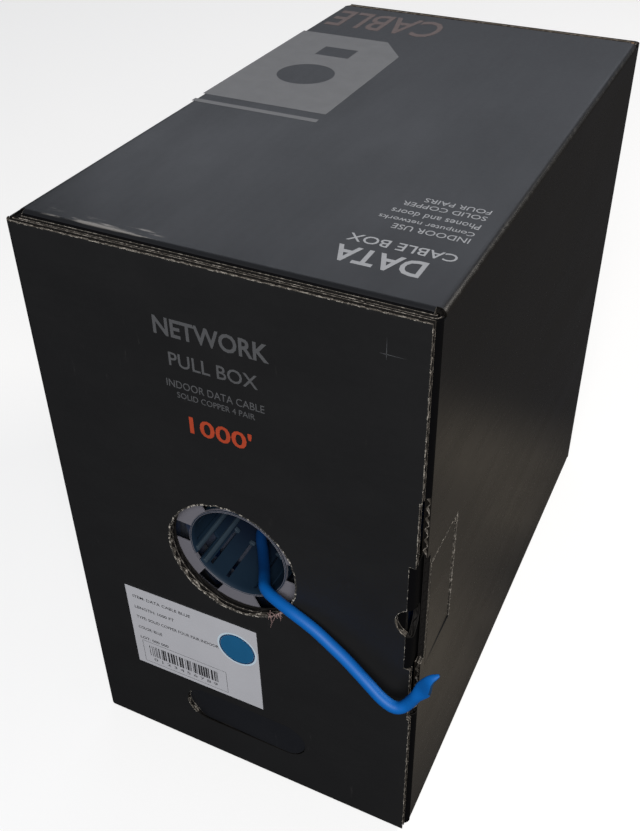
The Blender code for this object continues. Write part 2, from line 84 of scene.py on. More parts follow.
# ---------------------------------------------------------------- shader maths
class Signal:
    """One socket of a material's tree. Python's operators on it add Math nodes."""

    def __init__(self, bench: "Bench", socket: bpy.types.NodeSocket) -> None:
        """Wraps a socket of the bench's tree."""
        self.bench = bench
        self.socket = socket

    def _math(self, operation: str, first: Value, second: Value = 0.0) -> "Signal":
        """Adds one Math node and returns its result."""
        node = self.bench.node("ShaderNodeMath", {"operation": operation}, {0: first, 1: second})
        return Signal(self.bench, node.outputs[0])

    def __add__(self, other: Value) -> "Signal":
        """self + other."""
        return self._math("ADD", self, other)

    __radd__ = __add__

    def __sub__(self, other: Value) -> "Signal":
        """self - other."""
        return self._math("SUBTRACT", self, other)

    def __rsub__(self, other: Value) -> "Signal":
        """other - self."""
        return self._math("SUBTRACT", other, self)

    def __mul__(self, other: Value) -> "Signal":
        """self * other."""
        return self._math("MULTIPLY", self, other)

    __rmul__ = __mul__

    def __abs__(self) -> "Signal":
        """The size of self without its sign."""
        return self._math("ABSOLUTE", self)

    def sine(self) -> "Signal":
        """The sine of self, in radians."""
        return self._math("SINE", self)

    def at_least(self, other: Value) -> "Signal":
        """The larger of self and other."""
        return self._math("MAXIMUM", self, other)

    def ramp(self, low: float, high: float) -> "Signal":
        """0 below low and 1 above high, with a smooth step between."""
        places = {"Value": self, "From Min": low, "From Max": high}
        node = self.bench.node("ShaderNodeMapRange", {"interpolation_type": "SMOOTHSTEP"}, places)
        return Signal(self.bench, node.outputs[0])

    def band(self, low: float, high: float, rise: float, fall: float) -> "Signal":
        """1 from low to high, with a smooth rise above low and a smooth fall below high."""
        return self.ramp(low, low + rise) * (1.0 - self.ramp(high - fall, high))


class Bench:
    """A material's node tree with the one method that adds nodes to it."""

    def __init__(self, name: str) -> None:
        """Starts an empty material with an output."""
        self.material = bpy.data.materials.new(name)
        self.material.use_nodes = True
        self.tree = self.material.node_tree
        self.tree.nodes.clear()

    def node(
        self,
        kind: str,
        settings: Mapping[str, object] | None = None,
        inputs: Mapping[Union[str, int], Value] | None = None,
    ) -> bpy.types.Node:
        """Adds a node, sets its settings first and then its sockets.

        Args:
            kind: the node's type name.
            settings: its properties.
            inputs: a value or a Signal for each socket, by name or number.

        Returns:
            The node.
        """
        made = self.tree.nodes.new(kind)
        for key, value in (settings or {}).items():
            setattr(made, key, value)
        for key, value in (inputs or {}).items():
            if isinstance(value, Signal):
                self.tree.links.new(value.socket, made.inputs[key])
            elif isinstance(value, (int, float)):
                made.inputs[key].default_value = value
            elif len(value) == 3 and made.inputs[key].type == "RGBA":
                made.inputs[key].default_value = (*value, 1.0)
            else:
                made.inputs[key].default_value = tuple(value)
        return made

    def out(self, node: bpy.types.Node, name: Union[str, int] = 0) -> Signal:
        """The Signal of one of a node's outputs."""
        return Signal(self, node.outputs[name])

    def position(self) -> Signal:
        """The point of the surface in the piece's own coordinates."""
        return self.out(self.node("ShaderNodeTexCoord"), "Object")

    def axis(self, name: str) -> Signal:
        """One coordinate of the surface's point, by its name X, Y or Z."""
        split = self.node("ShaderNodeSeparateXYZ", None, {0: self.position()})
        return self.out(split, name)

    def stretched(self, scale: Sequence[float]) -> Signal:
        """The surface's point with each coordinate scaled."""
        return self.out(self.node("ShaderNodeMapping", None, {"Vector": self.position(), "Scale": scale}))

    def noise(
        self, scale: float, detail: float = 3.0, roughness: float = 0.55, along: Signal | None = None
    ) -> Signal:
        """Fractal noise about 0.5.

        Args:
            scale: features a metre.
            detail: how many finer octaves it has.
            roughness: how strong the finer ones are.
            along: the coordinates that it reads, or the surface's point.

        Returns:
            Its value.
        """
        inputs = {"Vector": along or self.position(), "Scale": scale, "Detail": detail, "Roughness": roughness}
        return self.out(self.node("ShaderNodeTexNoise", None, inputs), "Fac")

    def mix(self, factor: Value, first: Value, second: Value) -> Signal:
        """A colour between first and second."""
        return self.out(self.node("ShaderNodeMix", {"data_type": "RGBA"}, {"Factor": factor, 6: first, 7: second}), 2)

    def toned(self, shade: Value, colour: Colour, dark: float, light: float) -> Signal:
        """A colour from dark times itself, where the shade is 0, to light times itself, where it is 1."""
        return self.mix(shade, tuple(c * dark for c in colour), tuple(c * light for c in colour))

    def flutes(self, along: "Flute", pitch: float) -> Signal:
        """A wave from -1 to 1 that repeats each pitch, as the board's flutes show through."""
        return (self.axis(along.value) * (math.tau / pitch)).sine()

    def finish(self, colour: Value, roughness: Value, height: Signal | None = None, **fixed: Value) -> Material:
        """Closes the tree with a Principled shader.

        Args:
            colour: the base colour.
            roughness: the roughness.
            height: the relief in metres.
            fixed: other sockets by their names with _ for spaces.

        Returns:
            The material.
        """
        inputs: dict[Union[str, int], Value] = {"Base Color": colour, "Roughness": roughness}
        inputs.update({key.replace("_", " "): value for key, value in fixed.items()})
        if height is not None:
            relief = self.node("ShaderNodeBump", None, {"Strength": 1.0, "Distance": 1.0, "Height": height})
            inputs["Normal"] = self.out(relief)
        shader = self.node("ShaderNodeBsdfPrincipled", None, inputs)
        output = self.node("ShaderNodeOutputMaterial")
        self.tree.links.new(shader.outputs[0], output.inputs[0])
        return self.material


# ---------------------------------------------------------------- finishes
class Flute(Enum):
    """The coordinate along which a panel's flutes rise and fall."""

    X = "X"
    Z = "Z"


@dataclass(frozen=True)
class PrintedFace:
    """Black ink and satin varnish on liner, with washboarding, rubbed folds and scuffs."""

    name: str
    flute: Flute
    half_width: float
    top: float
    front: float
    colour: Colour = (0.0098, 0.0099, 0.0105)
    rubbed: Colour = (0.05, 0.048, 0.046)
    scuff: Colour = (0.2, 0.19, 0.18)
    scuffed: tuple[float, float, float, float] | None = None
    pitch: float = 6.4 * MM
    gloss: float = 0.34
    specular: float = 0.42

    def make(self) -> Material:
        """Builds the material."""
        bench = Bench(self.name)
        wave = bench.flutes(self.flute, self.pitch)
        cloud = bench.noise(9.0, 4.0)
        smear = bench.noise(26.0, 5.0, 0.6, bench.stretched((1.0, 0.35, 1.6)))
        fibre = bench.noise(1900.0, 2.0)
        grain = bench.noise(420.0, 3.0)
        scratch = bench.noise(60.0, 6.0, 0.7, bench.stretched((7.0, 0.8, 1.0))).ramp(0.63, 0.72)
        side = abs(bench.axis("X")).ramp(self.half_width - 2.6 * MM, self.half_width - 0.4 * MM)
        lid = bench.axis("Z").ramp(self.top - 3.2 * MM, self.top - 0.6 * MM)
        front = 1.0 - bench.axis("Y").ramp(self.front + 0.3 * MM, self.front + 2.4 * MM)
        foot = 1.0 - bench.axis("Z").ramp(0.4 * MM, 2.6 * MM)
        corner = (side * lid).at_least(side * front).at_least(lid * front).at_least(side * foot)
        worn = corner * bench.noise(210.0, 4.0).ramp(0.5, 0.68) * 0.28
        dust = scratch * bench.noise(14.0, 2.0).ramp(0.48, 0.66) * 0.16
        speck = bench.noise(520.0, 2.0, 0.5).ramp(0.74, 0.8) * 0.1
        if self.scuffed:
            low, high, near, far = self.scuffed
            zone = bench.axis("X").band(low, high, 8 * MM, 8 * MM)
            zone = zone * bench.axis("Y").band(near, far, 1 * MM, 2 * MM)
            strokes = bench.noise(200.0, 4.0, 0.6, bench.stretched((0.22, 1.6, 1.0))).ramp(0.5, 0.62) * zone
        colour = bench.toned((cloud - 0.5) * 0.9 + 0.5, self.colour, 0.78, 1.28)
        colour = bench.mix(worn.at_least(dust).at_least(speck), colour, self.rubbed)
        if self.scuffed:
            colour = bench.mix(strokes, colour, self.scuff)
        roughness = (smear - 0.5) * 0.22 + (grain - 0.5) * 0.08 + worn * 0.3 + dust * 0.6 + self.gloss
        relief = wave * 0.000006 + fibre * 0.000002 + grain * 0.000003 + cloud * 0.00022
        return bench.finish(colour, roughness, relief, Specular_IOR_Level=self.specular)


@dataclass(frozen=True)
class Kraft:
    """Unprinted brown liner on the board's inside."""

    name: str = "kraft_liner"
    colour: Colour = (0.21, 0.135, 0.078)
    pitch: float = 6.4 * MM
    flute: Flute = Flute.Z

    def make(self) -> Material:
        """Builds the material."""
        bench = Bench(self.name)
        wave = bench.flutes(self.flute, self.pitch)
        fibre = bench.noise(900.0, 4.0, 0.6, bench.stretched((1.0, 0.3, 1.0)))
        mottle = bench.noise(60.0, 5.0)
        shade = (fibre - 0.5) * 0.5 + (mottle - 0.5) * 0.7 + wave * 0.05 + 0.5
        colour = bench.toned(shade, self.colour, 0.72, 1.3)
        relief = wave * 0.00002 + fibre * 0.00003
        return bench.finish(colour, (fibre - 0.5) * 0.2 + 0.8, relief, Specular_IOR_Level=0.25)


@dataclass(frozen=True)
class CutBoard:
    """The cut edges of liners and medium: grey-brown fibres."""

    name: str = "cut_board"
    colour: Colour = (0.062, 0.054, 0.045)
    pale: Colour = (0.37, 0.34, 0.3)

    def make(self) -> Material:
        """Builds the material."""
        bench = Bench(self.name)
        fibre = bench.noise(1400.0, 4.0, 0.65)
        fleck = bench.noise(520.0, 3.0, 0.6).ramp(0.47, 0.66)
        colour = bench.mix(fleck * 0.8 + (fibre - 0.5) * 0.5 + 0.04, self.colour, self.pale)
        return bench.finish(colour, (fibre - 0.5) * 0.2 + 0.85, fibre * 0.00008, Specular_IOR_Level=0.2)


@dataclass(frozen=True)
class Burr:
    """The rubbed line beside a cut, where pale fibre breaks through the black in flecks."""

    name: str = "cut_burr"
    ink: Colour = (0.02, 0.019, 0.018)
    fibre: Colour = (0.46, 0.43, 0.38)

    def make(self) -> Material:
        """Builds the material."""
        bench = Bench(self.name)
        fleck = bench.noise(560.0, 2.0, 0.5).ramp(0.5, 0.6)
        fine = bench.noise(1700.0, 2.0).ramp(0.42, 0.6)
        colour = bench.mix(fleck * 0.85 + fine * 0.12, self.ink, self.fibre)
        return bench.finish(colour, 0.8, fine * 0.00012 + fleck * 0.0003, Specular_IOR_Level=0.2)


@dataclass(frozen=True)
class Ink:
    """A printed colour that lets the board's fine fibre show."""

    name: str
    colour: Colour
    roughness: float = 0.5
    wear: float = 0.35

    def make(self) -> Material:
        """Builds the material."""
        bench = Bench(self.name)
        fibre = bench.noise(1500.0, 3.0, 0.6)
        patch = bench.noise(120.0, 4.0)
        shade = (fibre - 0.5) * self.wear + (patch - 0.5) * self.wear + 0.5
        colour = bench.toned(shade, self.colour, 0.62, 1.35)
        roughness = (fibre - 0.5) * 0.14 + self.roughness
        return bench.finish(colour, roughness, fibre * 0.00001, Specular_IOR_Level=0.35)


@dataclass(frozen=True)
class Plastic:
    """Moulded or extruded plastic with a fine skin, flow shading and handling marks, and, if a second colour is given,
    a painted shade that fades to it along Y.
    """

    name: str
    colour: Colour
    roughness: float = 0.42
    grain: float = 1100.0
    relief: float = 0.000012
    variation: float = 0.14
    specular: float = 0.5
    painted_shade: Colour | None = None
    shade_from: float = 0.0
    shade_to: float = 0.0

    def make(self) -> Material:
        """Builds the material."""
        bench = Bench(self.name)
        skin = bench.noise(self.grain, 3.0)
        flow = bench.noise(34.0, 4.0, 0.5)
        marks = bench.noise(240.0, 5.0, 0.7).ramp(0.6, 0.75)
        shade = (flow - 0.5) * 2.0 * self.variation + (skin - 0.5) * self.variation + 0.5
        colour = bench.toned(shade, self.colour, 0.7, 1.3)
        # Painted shade: the colour darkens along Y, deeper in where light reaches less.
        if self.painted_shade:
            depth = bench.axis("Y").ramp(self.shade_from, self.shade_to)
            colour = bench.mix(depth, colour, bench.toned(shade, self.painted_shade, 0.7, 1.3))
        roughness = (flow - 0.5) * 0.18 + marks * 0.12 + self.roughness
        return bench.finish(colour, roughness, skin * self.relief, Specular_IOR_Level=self.specular)


@dataclass(frozen=True)
class Paper:
    """Coated label stock."""

    name: str = "label_stock"
    colour: Colour = (0.49, 0.495, 0.53)

    def make(self) -> Material:
        """Builds the material."""
        bench = Bench(self.name)
        fibre = bench.noise(1600.0, 3.0, 0.6)
        mottle = bench.noise(45.0, 4.0)
        shade = (fibre - 0.5) * 0.35 + (mottle - 0.5) * 0.6 + 0.5
        colour = bench.toned(shade, self.colour, 0.9, 1.07)
        return bench.finish(colour, (mottle - 0.5) * 0.2 + 0.5, fibre * 0.000012, Specular_IOR_Level=0.4)


@dataclass(frozen=True)
class StretchFilm:
    """Clear film wrapped tight round the coil."""

    name: str = "stretch_film"

    def make(self) -> Material:
        """Builds the material."""
        bench = Bench(self.name)
        pulled = bench.noise(40.0, 5.0, 0.6, bench.stretched((8.0, 1.0, 1.0)))
        alpha = pulled.ramp(0.35, 0.8) * 0.08 + 0.02
        return bench.finish((0.3, 0.32, 0.35), pulled * 0.2 + 0.1, pulled * 0.0004, Alpha=alpha)


# ---------------------------------------------------------------- meshes
@dataclass
class MeshStock:
    """Vertices and faces gathered from closed shells, with a material number for each face."""

    points: list[Array] = field(default_factory=list)
    faces: list[Array] = field(default_factory=list)
    slots: list[Array] = field(default_factory=list)
    count: int = 0

    def add(self, points: Array, faces: Array, slot: Union[int, Array] = 0) -> None:
        """Adds one shell.

        Args:
            points: (n, 3) corners.
            faces: (m, 3) or (m, 4) corner numbers.
            slot: one material number, or one for each face.
        """
        self.points.append(points)
        self.more(faces + self.count, slot)
        self.count += len(points)

    def more(self, faces: Array, slot: Union[int, Array]) -> None:
        """Adds faces, with a material number or one for each, between points that are in the stock."""
        self.faces.append(faces)
        self.slots.append(np.broadcast_to(np.asarray(slot), (len(faces),)))

    def build(self, name: str, materials: Sequence[Material], smooth_deg: float = 30.0) -> Piece:
        """Makes the object, with its faces outwards.

        Args:
            name: its name.
            materials: its materials, in the order of their numbers.
            smooth_deg: the angle past which an edge stays sharp.

        Returns:
            The object.
        """
        data = bpy.data.meshes.new(name)
        faces = [face for group in self.faces for face in group.tolist()]
        data.from_pydata(np.vstack(self.points).tolist(), [], faces)
        data.polygons.foreach_set("material_index", np.concatenate(self.slots).astype(np.int32))
        for material in materials:
            data.materials.append(material)
        shell = bmesh.new()
        shell.from_mesh(data)
        bmesh.ops.recalc_face_normals(shell, faces=shell.faces)
        shell.to_mesh(data)
        shell.free()
        data.shade_smooth()
        data.set_sharp_from_angle(angle=math.radians(smooth_deg))
        made = bpy.data.objects.new(name, data)
        bpy.context.scene.collection.objects.link(made)
        return made


def grid_faces(rows: int, columns: int, round_rows: bool = False, round_columns: bool = False) -> Array:
    """The quads of a grid of rows x columns points, numbered row by row, closed round where asked."""
    i = np.arange(rows if round_rows else rows - 1)[:, None]
    j = np.arange(columns if round_columns else columns - 1)[None, :]
    k, m = (i + 1) % rows, (j + 1) % columns
    quads = np.stack([i * columns + j, i * columns + m, k * columns + m, k * columns + j], axis=-1)
    return quads.reshape(-1, 4)


def spread(start: float, stop: float, step: float) -> Array:
    """Even samples from start to stop, no more than step apart."""
    return np.linspace(start, stop, max(2, int(math.ceil(abs(stop - start) / step)) + 1))


def ring(
    centre: Sequence[float], radius: float, steps: int, start: float = 0.0, stop: float = math.tau
) -> Array:
    """Points on an arc: centre + radius * (cos a, sin a), without the last where it closes.

    Args:
        centre: its centre.
        radius: its radius.
        steps: how many steps it is cut into.
        start: its first angle.
        stop: its last angle.

    Returns:
        (n, 2) points.
    """
    whole = abs(abs(stop - start) - math.tau) < 1e-9
    angle = np.linspace(start, stop, steps + 1)[: steps if whole else steps + 1]
    return np.stack([centre[0] + radius * np.cos(angle), centre[1] + radius * np.sin(angle)], axis=1)


def slot_loop(centre: Sequence[float], width: float, height: float, steps: int = 20) -> Array:
    """A slot with round ends: two half circles of the height, a width apart."""
    reach = (width - height) / 2
    right = ring((centre[0] + reach, centre[1]), height / 2, steps, -math.pi / 2, math.pi / 2)
    left = ring((centre[0] - reach, centre[1]), height / 2, steps, math.pi / 2, 3 * math.pi / 2)
    return np.vstack([right, left])


def resample(loop: Array, step: float) -> Array:
    """Points about a step apart on a closed loop, by linear interpolation over its length."""
    closed = np.vstack([loop, loop[:1]])
    along = np.concatenate([[0.0], np.cumsum(np.linalg.norm(np.diff(closed, axis=0), axis=1))])
    at = np.linspace(0.0, along[-1], max(8, int(along[-1] / step)), endpoint=False)
    return np.stack([np.interp(at, along, closed[:, k]) for k in (0, 1)], axis=1)


def left_normals(loop: Array) -> Array:
    """The unit normals on the left of a closed loop, from each point's two neighbours."""
    ahead = np.roll(loop, -1, axis=0) - np.roll(loop, 1, axis=0)
    turned = np.stack([-ahead[:, 1], ahead[:, 0]], axis=1)
    return turned / np.linalg.norm(turned, axis=1, keepdims=True)


def inset(loop: Array, distance: float) -> Array:
    """A closed loop moved to its left by a distance, with mitred corners."""
    back = loop - np.roll(loop, 1, axis=0)
    ahead = np.roll(loop, -1, axis=0) - loop
    back /= np.linalg.norm(back, axis=1, keepdims=True)
    ahead /= np.linalg.norm(ahead, axis=1, keepdims=True)
    first = np.stack([-back[:, 1], back[:, 0]], axis=1)
    second = np.stack([-ahead[:, 1], ahead[:, 0]], axis=1)
    both = first + second
    share = np.maximum(0.35, (both * first).sum(axis=1, keepdims=True))
    return loop + both * (distance / share)


def inside(points: Array, loops: Sequence[Array]) -> Array:
    """Whether each point is inside an odd number of loops: its rightward ray crosses their edges."""
    odd = np.zeros(len(points), bool)
    for loop in loops:
        a, b = loop, np.roll(loop, -1, axis=0)
        straddles = (a[None, :, 1] > points[:, None, 1]) != (b[None, :, 1] > points[:, None, 1])
        rise = np.where(b[:, 1] == a[:, 1], 1.0, b[:, 1] - a[:, 1])
        across = a[:, 0] + (points[:, None, 1] - a[:, 1]) * (b[:, 0] - a[:, 0]) / rise
        odd ^= (straddles & (points[:, None, 0] < across)).sum(axis=1) % 2 == 1
    return odd


def filled(
    loops: Sequence[Array], columns: Sequence[float] = (), drawn: Sequence[Array] = ()
) -> tuple[Array, Array]:
    """Triangles that fill loops with holes, split along columns of constant u.

    Args:
        loops: the outline and the holes, in metres.
        columns: the u values where the sheet will bend.
        drawn: more loops that triangles don't cross but that bound nothing.

    Returns:
        (n, 2) points and (m, 3) triangles, anticlockwise.
    """
    points = np.vstack([*loops, *drawn]) / MM
    edges: list[tuple[int, int]] = []
    first = 0
    for loop in [*loops, *drawn]:
        number = np.arange(len(loop))
        edges += list(zip((first + number).tolist(), (first + (number + 1) % len(loop)).tolist()))
        first += len(loop)
    low, high = points[:, 1].min() - 1.0, points[:, 1].max() + 1.0
    lines = np.array([[(u / MM, low), (u / MM, high)] for u in columns]).reshape(-1, 2)
    edges += [(len(points) + 2 * i, len(points) + 2 * i + 1) for i in range(len(columns))]
    if len(columns):
        points = np.vstack([points, lines])
    found = delaunay_2d_cdt([Vector(p) for p in points.tolist()], edges, [], 0, 1e-5)
    corners = np.array([tuple(p) for p in found[0]]) * MM
    triangles = np.array([face for face in found[2] if len(face) == 3])
    kept = triangles[inside(corners[triangles].mean(axis=1), loops)]
    a, b, c = (corners[kept[:, k]] for k in range(3))
    turned = (b[:, 0] - a[:, 0]) * (c[:, 1] - a[:, 1]) - (b[:, 1] - a[:, 1]) * (c[:, 0] - a[:, 0]) < 0
    kept[turned] = kept[turned][:, ::-1]
    used, numbers = np.unique(kept, return_inverse=True)
    return corners[used], numbers.reshape(-1, 3)


def rim_edges(triangles: Array) -> Array:
    """The directed edges that only one triangle has."""
    edges = np.vstack([triangles[:, [0, 1]], triangles[:, [1, 2]], triangles[:, [2, 0]]])
    size = triangles.max() + 1
    forward = edges[:, 0] * size + edges[:, 1]
    backward = edges[:, 1] * size + edges[:, 0]
    return edges[~np.isin(forward, backward)]


def frames(path: Array, aside: Sequence[float]) -> tuple[Array, Array]:
    """Two unit vectors square to a path at each point: side = ahead x aside, and up = side x ahead.

    Args:
        path: (n, 3) points.
        aside: a direction that the path never runs along.

    Returns:
        The sides and the ups.
    """
    ahead = np.gradient(path, axis=0)
    ahead /= np.linalg.norm(ahead, axis=1, keepdims=True)
    side = np.cross(ahead, np.asarray(aside, float))
    side /= np.linalg.norm(side, axis=1, keepdims=True)
    return side, np.cross(side, ahead)


def add_tube(stock: MeshStock, path: Array, radii: Array, sides: int, aside: Sequence[float]) -> None:
    """Adds a tube of circles square to a path, path + r * (cos a * side + sin a * up), with fans as caps.

    Args:
        stock: what it is added to.
        path: (n, 3) centres.
        radii: one radius for each centre.
        sides: corners of each circle.
        aside: a direction that the path never runs along.
    """
    side, up = frames(path, aside)
    angle = np.arange(sides) * (math.tau / sides)
    circles = path[:, None] + radii[:, None, None] * (
        np.cos(angle)[None, :, None] * side[:, None] + np.sin(angle)[None, :, None] * up[:, None]
    )
    first, count = stock.count, len(path) * sides
    quads = grid_faces(len(path), sides, round_columns=True)
    stock.add(np.vstack([circles.reshape(-1, 3), path[:1], path[-1:]]), quads)
    around = np.arange(sides)
    after, last = (around + 1) % sides, count - sides
    starts = np.stack([np.full(sides, count), after, around], axis=1)
    ends = np.stack([np.full(sides, count + 1), last + around, last + after], axis=1)
    stock.more(np.vstack([starts, ends]) + first, 0)


# ---------------------------------------------------------------- folding
@dataclass(frozen=True)
class Leg:
    """A straight run of a folded profile and the turn after it, with the outer face's radius."""

    run: float
    turn_deg: float = 0.0
    radius: float = 0.0


@dataclass(frozen=True)
class FoldPath:
    """The profile that a flat sheet is folded along.

    The outer face follows the path. side is +1 where the board lies on its left, or -1 for its right.
    axes are the numbers of the world axes that the profile lies in, and across is the third.
    """

    start: tuple[float, float]
    heading_deg: float
    side: int
    axes: tuple[int, int]
    across: int
    legs: tuple[Leg, ...]

    def _inward(self, angle: Union[float, Array]) -> Array:
        """The unit normal into the board where the path heads at an angle."""
        return self.side * np.stack([-np.sin(angle), np.cos(angle)], axis=-1)

    def place(self, sheet: Array, depth: Union[float, Array]) -> Array:
        """Folds points of the flat sheet.

        On a straight run p = start + u * ahead + w * inward. On a turn of radius R about centre c the
        heading turns by u / R, and p = c - (R - w) * inward.

        Args:
            sheet: (n, 2) flat points (u, v).
            depth: how far each lies below the outer face.

        Returns:
            (n, 3) folded points.
        """
        u = sheet[:, 0]
        w = np.broadcast_to(np.asarray(depth, float), u.shape)
        flat = np.zeros((len(u), 2))
        at, heading, begun = np.array(self.start), math.radians(self.heading_deg), 0.0
        for number, leg in enumerate(self.legs):
            low = -np.inf if number == 0 else begun
            last = number == len(self.legs) - 1 and not leg.turn_deg
            high = np.inf if last else begun + leg.run
            ahead = np.array([math.cos(heading), math.sin(heading)])
            use = (u >= low) & (u < high)
            flat[use] = at + (u[use] - begun)[:, None] * ahead + w[use][:, None] * self._inward(heading)
            at = at + leg.run * ahead
            begun += leg.run
            if leg.turn_deg:
                length = math.radians(leg.turn_deg) * leg.radius
                high = np.inf if number == len(self.legs) - 1 else begun + length
                use = (u >= begun) & (u < high)
                angle = heading + self.side * (u[use] - begun) / leg.radius
                centre = at + leg.radius * self._inward(heading)
                flat[use] = centre - (leg.radius - w[use])[:, None] * self._inward(angle)
                heading += self.side * math.radians(leg.turn_deg)
                at = centre - leg.radius * self._inward(heading)
                begun += length
        folded = np.zeros((len(u), 3))
        folded[:, self.axes[0]] = flat[:, 0]
        folded[:, self.axes[1]] = flat[:, 1]
        folded[:, self.across] = sheet[:, 1]
        return folded

    def columns(self, steps: int = 9) -> list[float]:
        """The u values where the sheet needs corners: along each turn and just beyond it."""
        found: list[float] = []
        begun = 0.0
        for leg in self.legs:
            begun += leg.run
            if leg.turn_deg:
                length = math.radians(leg.turn_deg) * leg.radius
                found += (begun + np.linspace(0.0, length, steps)).tolist()
                found += [begun - 0.3 * MM, begun + length + 0.3 * MM]
                begun += length
        return found


@dataclass(frozen=True)
class BoardSpec:
    """Corrugated board: two liners and a fluted medium between them."""

    thickness: float = 3.0 * MM
    liner: float = 0.42 * MM
    medium: float = 0.26 * MM
    pitch: float = 6.4 * MM
    recess: float = 1.9 * MM
    step: float = 0.55 * MM
    burr: float = 0.22 * MM
    seed: int = 3


class Cut(IntEnum):
    """How a cut edge looks, by the number of its material; RAW leaves it as it is, and the dark number gives it the
    near-black core material, a painted shade for edges that lie in shadow.
    """

    RAW = -1
    PRINTED = 0
    PAINTED_SHADE = 3


KRAFT, CUT, BURR, LID = 1, 2, 4, 5  # the numbers of a board's other materials


@dataclass
class Blank:
    """A flat piece of board and how it is folded.

    Its outline runs anticlockwise and its holes clockwise. flute_axis is the flat coordinate across
    the flutes, bow moves the folded points, and cut gives a Cut for flat points on an edge. burrs
    gives a loop its own width of burr, and hushed leaves them all out and gives the printed liner's
    edges the near-black core material, a painted shade.
    """

    outline: Array
    path: FoldPath
    holes: tuple[Array, ...] = ()
    flute_axis: int = 1
    spec: BoardSpec = field(default_factory=BoardSpec)
    bow: Callable[[Array], Array] | None = None
    cut: Callable[[Array], Array] | None = None
    burrs: Mapping[int, float] = field(default_factory=dict)
    hushed: bool = False

    def cuts(self, sheet: Array, otherwise: int) -> Array:
        """The material number of each point of a cut edge, or otherwise where it is raw."""
        if self.cut is None:
            return np.full(len(sheet), otherwise)
        kind = self.cut(sheet)
        return np.where(kind < 0, otherwise, kind)

    def placed(self, sheet: Array, depth: Union[float, Array]) -> Array:
        """Folds flat points, with the panel's own bow added."""
        folded = self.path.place(sheet, depth)
        return folded if self.bow is None else folded + self.bow(folded)

    def slab(
        self, stock: MeshStock, loops: Sequence[Array], near: float, far: float, slots: tuple[int, int, int]
    ) -> None:
        """Adds a closed layer between two depths.

        Args:
            stock: what it is added to.
            loops: its outline and holes.
            near: the depth of its outer face.
            far: the depth of its inner face.
            slots: the materials of the outer face, the inner face and the edge.
        """
        printed = slots[0] == Cut.PRINTED
        burrs = [self.burrs.get(i, self.spec.burr) for i in range(len(loops))]
        drawn = [inset(loop, burr) for loop, burr in zip(loops, burrs)] if printed else []
        points, triangles = filled(loops, self.path.columns(), drawn)
        first, n = stock.count, len(points)
        face: Union[int, Array] = slots[0]
        if printed:
            middle = points[triangles].mean(axis=1)
            clear = inside(middle, drawn) | (self.cuts(middle, BURR) != BURR) | self.hushed
            face = np.where(clear, Cut.PRINTED, BURR)
        stock.add(np.vstack([self.placed(points, near), self.placed(points, far)]), triangles, face)
        stock.more(triangles[:, ::-1] + n + first, slots[1])
        rim = rim_edges(triangles)
        quads = np.stack([rim[:, 0], rim[:, 0] + n, rim[:, 1] + n, rim[:, 1]], axis=1)
        edge = self.cuts(points[rim].mean(axis=1), slots[2])
        # A hushed blank gives the printed liner's edges the near-black core material, painted shade.
        stock.more(quads + first, Cut.PAINTED_SHADE if self.hushed and printed else edge)

    def ribbon(self, stock: MeshStock, loop: Array, rng: np.random.Generator) -> None:
        """Adds the fluted medium along one cut edge.

        Its depth below the outer face is T / 2 + A * cos(2 pi q / pitch), where q is the distance
        across the flutes, over a strip from the edge to the recess.

        Args:
            stock: what it is added to.
            loop: the flat edge.
            rng: draws how far each place is torn.
        """
        spec = self.spec
        edge = resample(loop, spec.step)
        inward = left_normals(edge)
        span = (spec.thickness - 2 * spec.liner - spec.medium) / 2
        across = np.array([0.06, 0.5, 1.0, 1.0, 0.5, 0.06]) * spec.recess * 1.15
        face = np.array([-1.0, -1.0, -1.0, 1.0, 1.0, 1.0]) * spec.medium / 2
        ragged = rng.normal(0.0, 0.12 * MM, len(edge))
        ragged = (ragged + np.roll(ragged, 1) + np.roll(ragged, 2)) / 2
        reach = across[None, :] + np.where(across < 0.3 * MM, 1.0, 0.0)[None, :] * np.abs(ragged)[:, None]
        sheet = edge[:, None] + inward[:, None] * reach[..., None]
        q = sheet[..., self.flute_axis]
        crush = 1.0 - 0.18 * np.abs(np.sin(edge.sum(axis=1) * 190.0))[:, None]
        depth = spec.thickness / 2 + span * crush * np.cos(math.tau * q / spec.pitch) + face[None, :]
        points = self.placed(sheet.reshape(-1, 2), depth.reshape(-1))
        # The medium takes the cut-edge material where the edge is raw and the near-black core material elsewhere,
        # painted shade where it lies in a fold or in shadow.
        kinds = np.where(self.cuts(edge, CUT) == CUT, CUT, Cut.PAINTED_SHADE)
        stock.add(points, grid_faces(len(edge), len(across), True, True), np.repeat(kinds, len(across)))

    def build(self, name: str, materials: Sequence[Material]) -> Piece:
        """Makes the board: two liners, a recessed core and the medium at its cut edges.

        Args:
            name: the piece's name.
            materials: print, kraft, cut edge, core and burr, in that order; the near-black core is painted shade.

        Returns:
            The object.
        """
        spec = self.spec
        loops = [self.outline, *self.holes]
        stock = MeshStock()
        # The outer liner's inner face, the inner liner's outer face and the recessed core take the near-black core
        # material, painted shade for the board's dark inside.
        self.slab(stock, loops, 0.0, spec.liner, (Cut.PRINTED, Cut.PAINTED_SHADE, CUT))
        self.slab(stock, loops, spec.thickness - spec.liner, spec.thickness, (Cut.PAINTED_SHADE, KRAFT, CUT))
        core = [inset(loop, spec.recess) for loop in loops]
        sunk = spec.liner * 0.9
        self.slab(stock, core, sunk, spec.thickness - sunk, (Cut.PAINTED_SHADE, Cut.PAINTED_SHADE, Cut.PAINTED_SHADE))
        rng = np.random.default_rng(spec.seed)
        for loop in loops:
            self.ribbon(stock, loop, rng)
        return stock.build(name, materials)


def flap_path(
    start: tuple[float, float], heading_deg: float, side: int, radius: float, axes: tuple[int, int] = (0, 1),
    turn_deg: float = 90.0,
) -> FoldPath:
    """The profile of a flap: a fold of a radius and an angle, and then straight on."""
    across = 3 - sum(axes)
    return FoldPath(start, heading_deg, side, axes, across, (Leg(0.0, turn_deg, radius), Leg(1.0)))


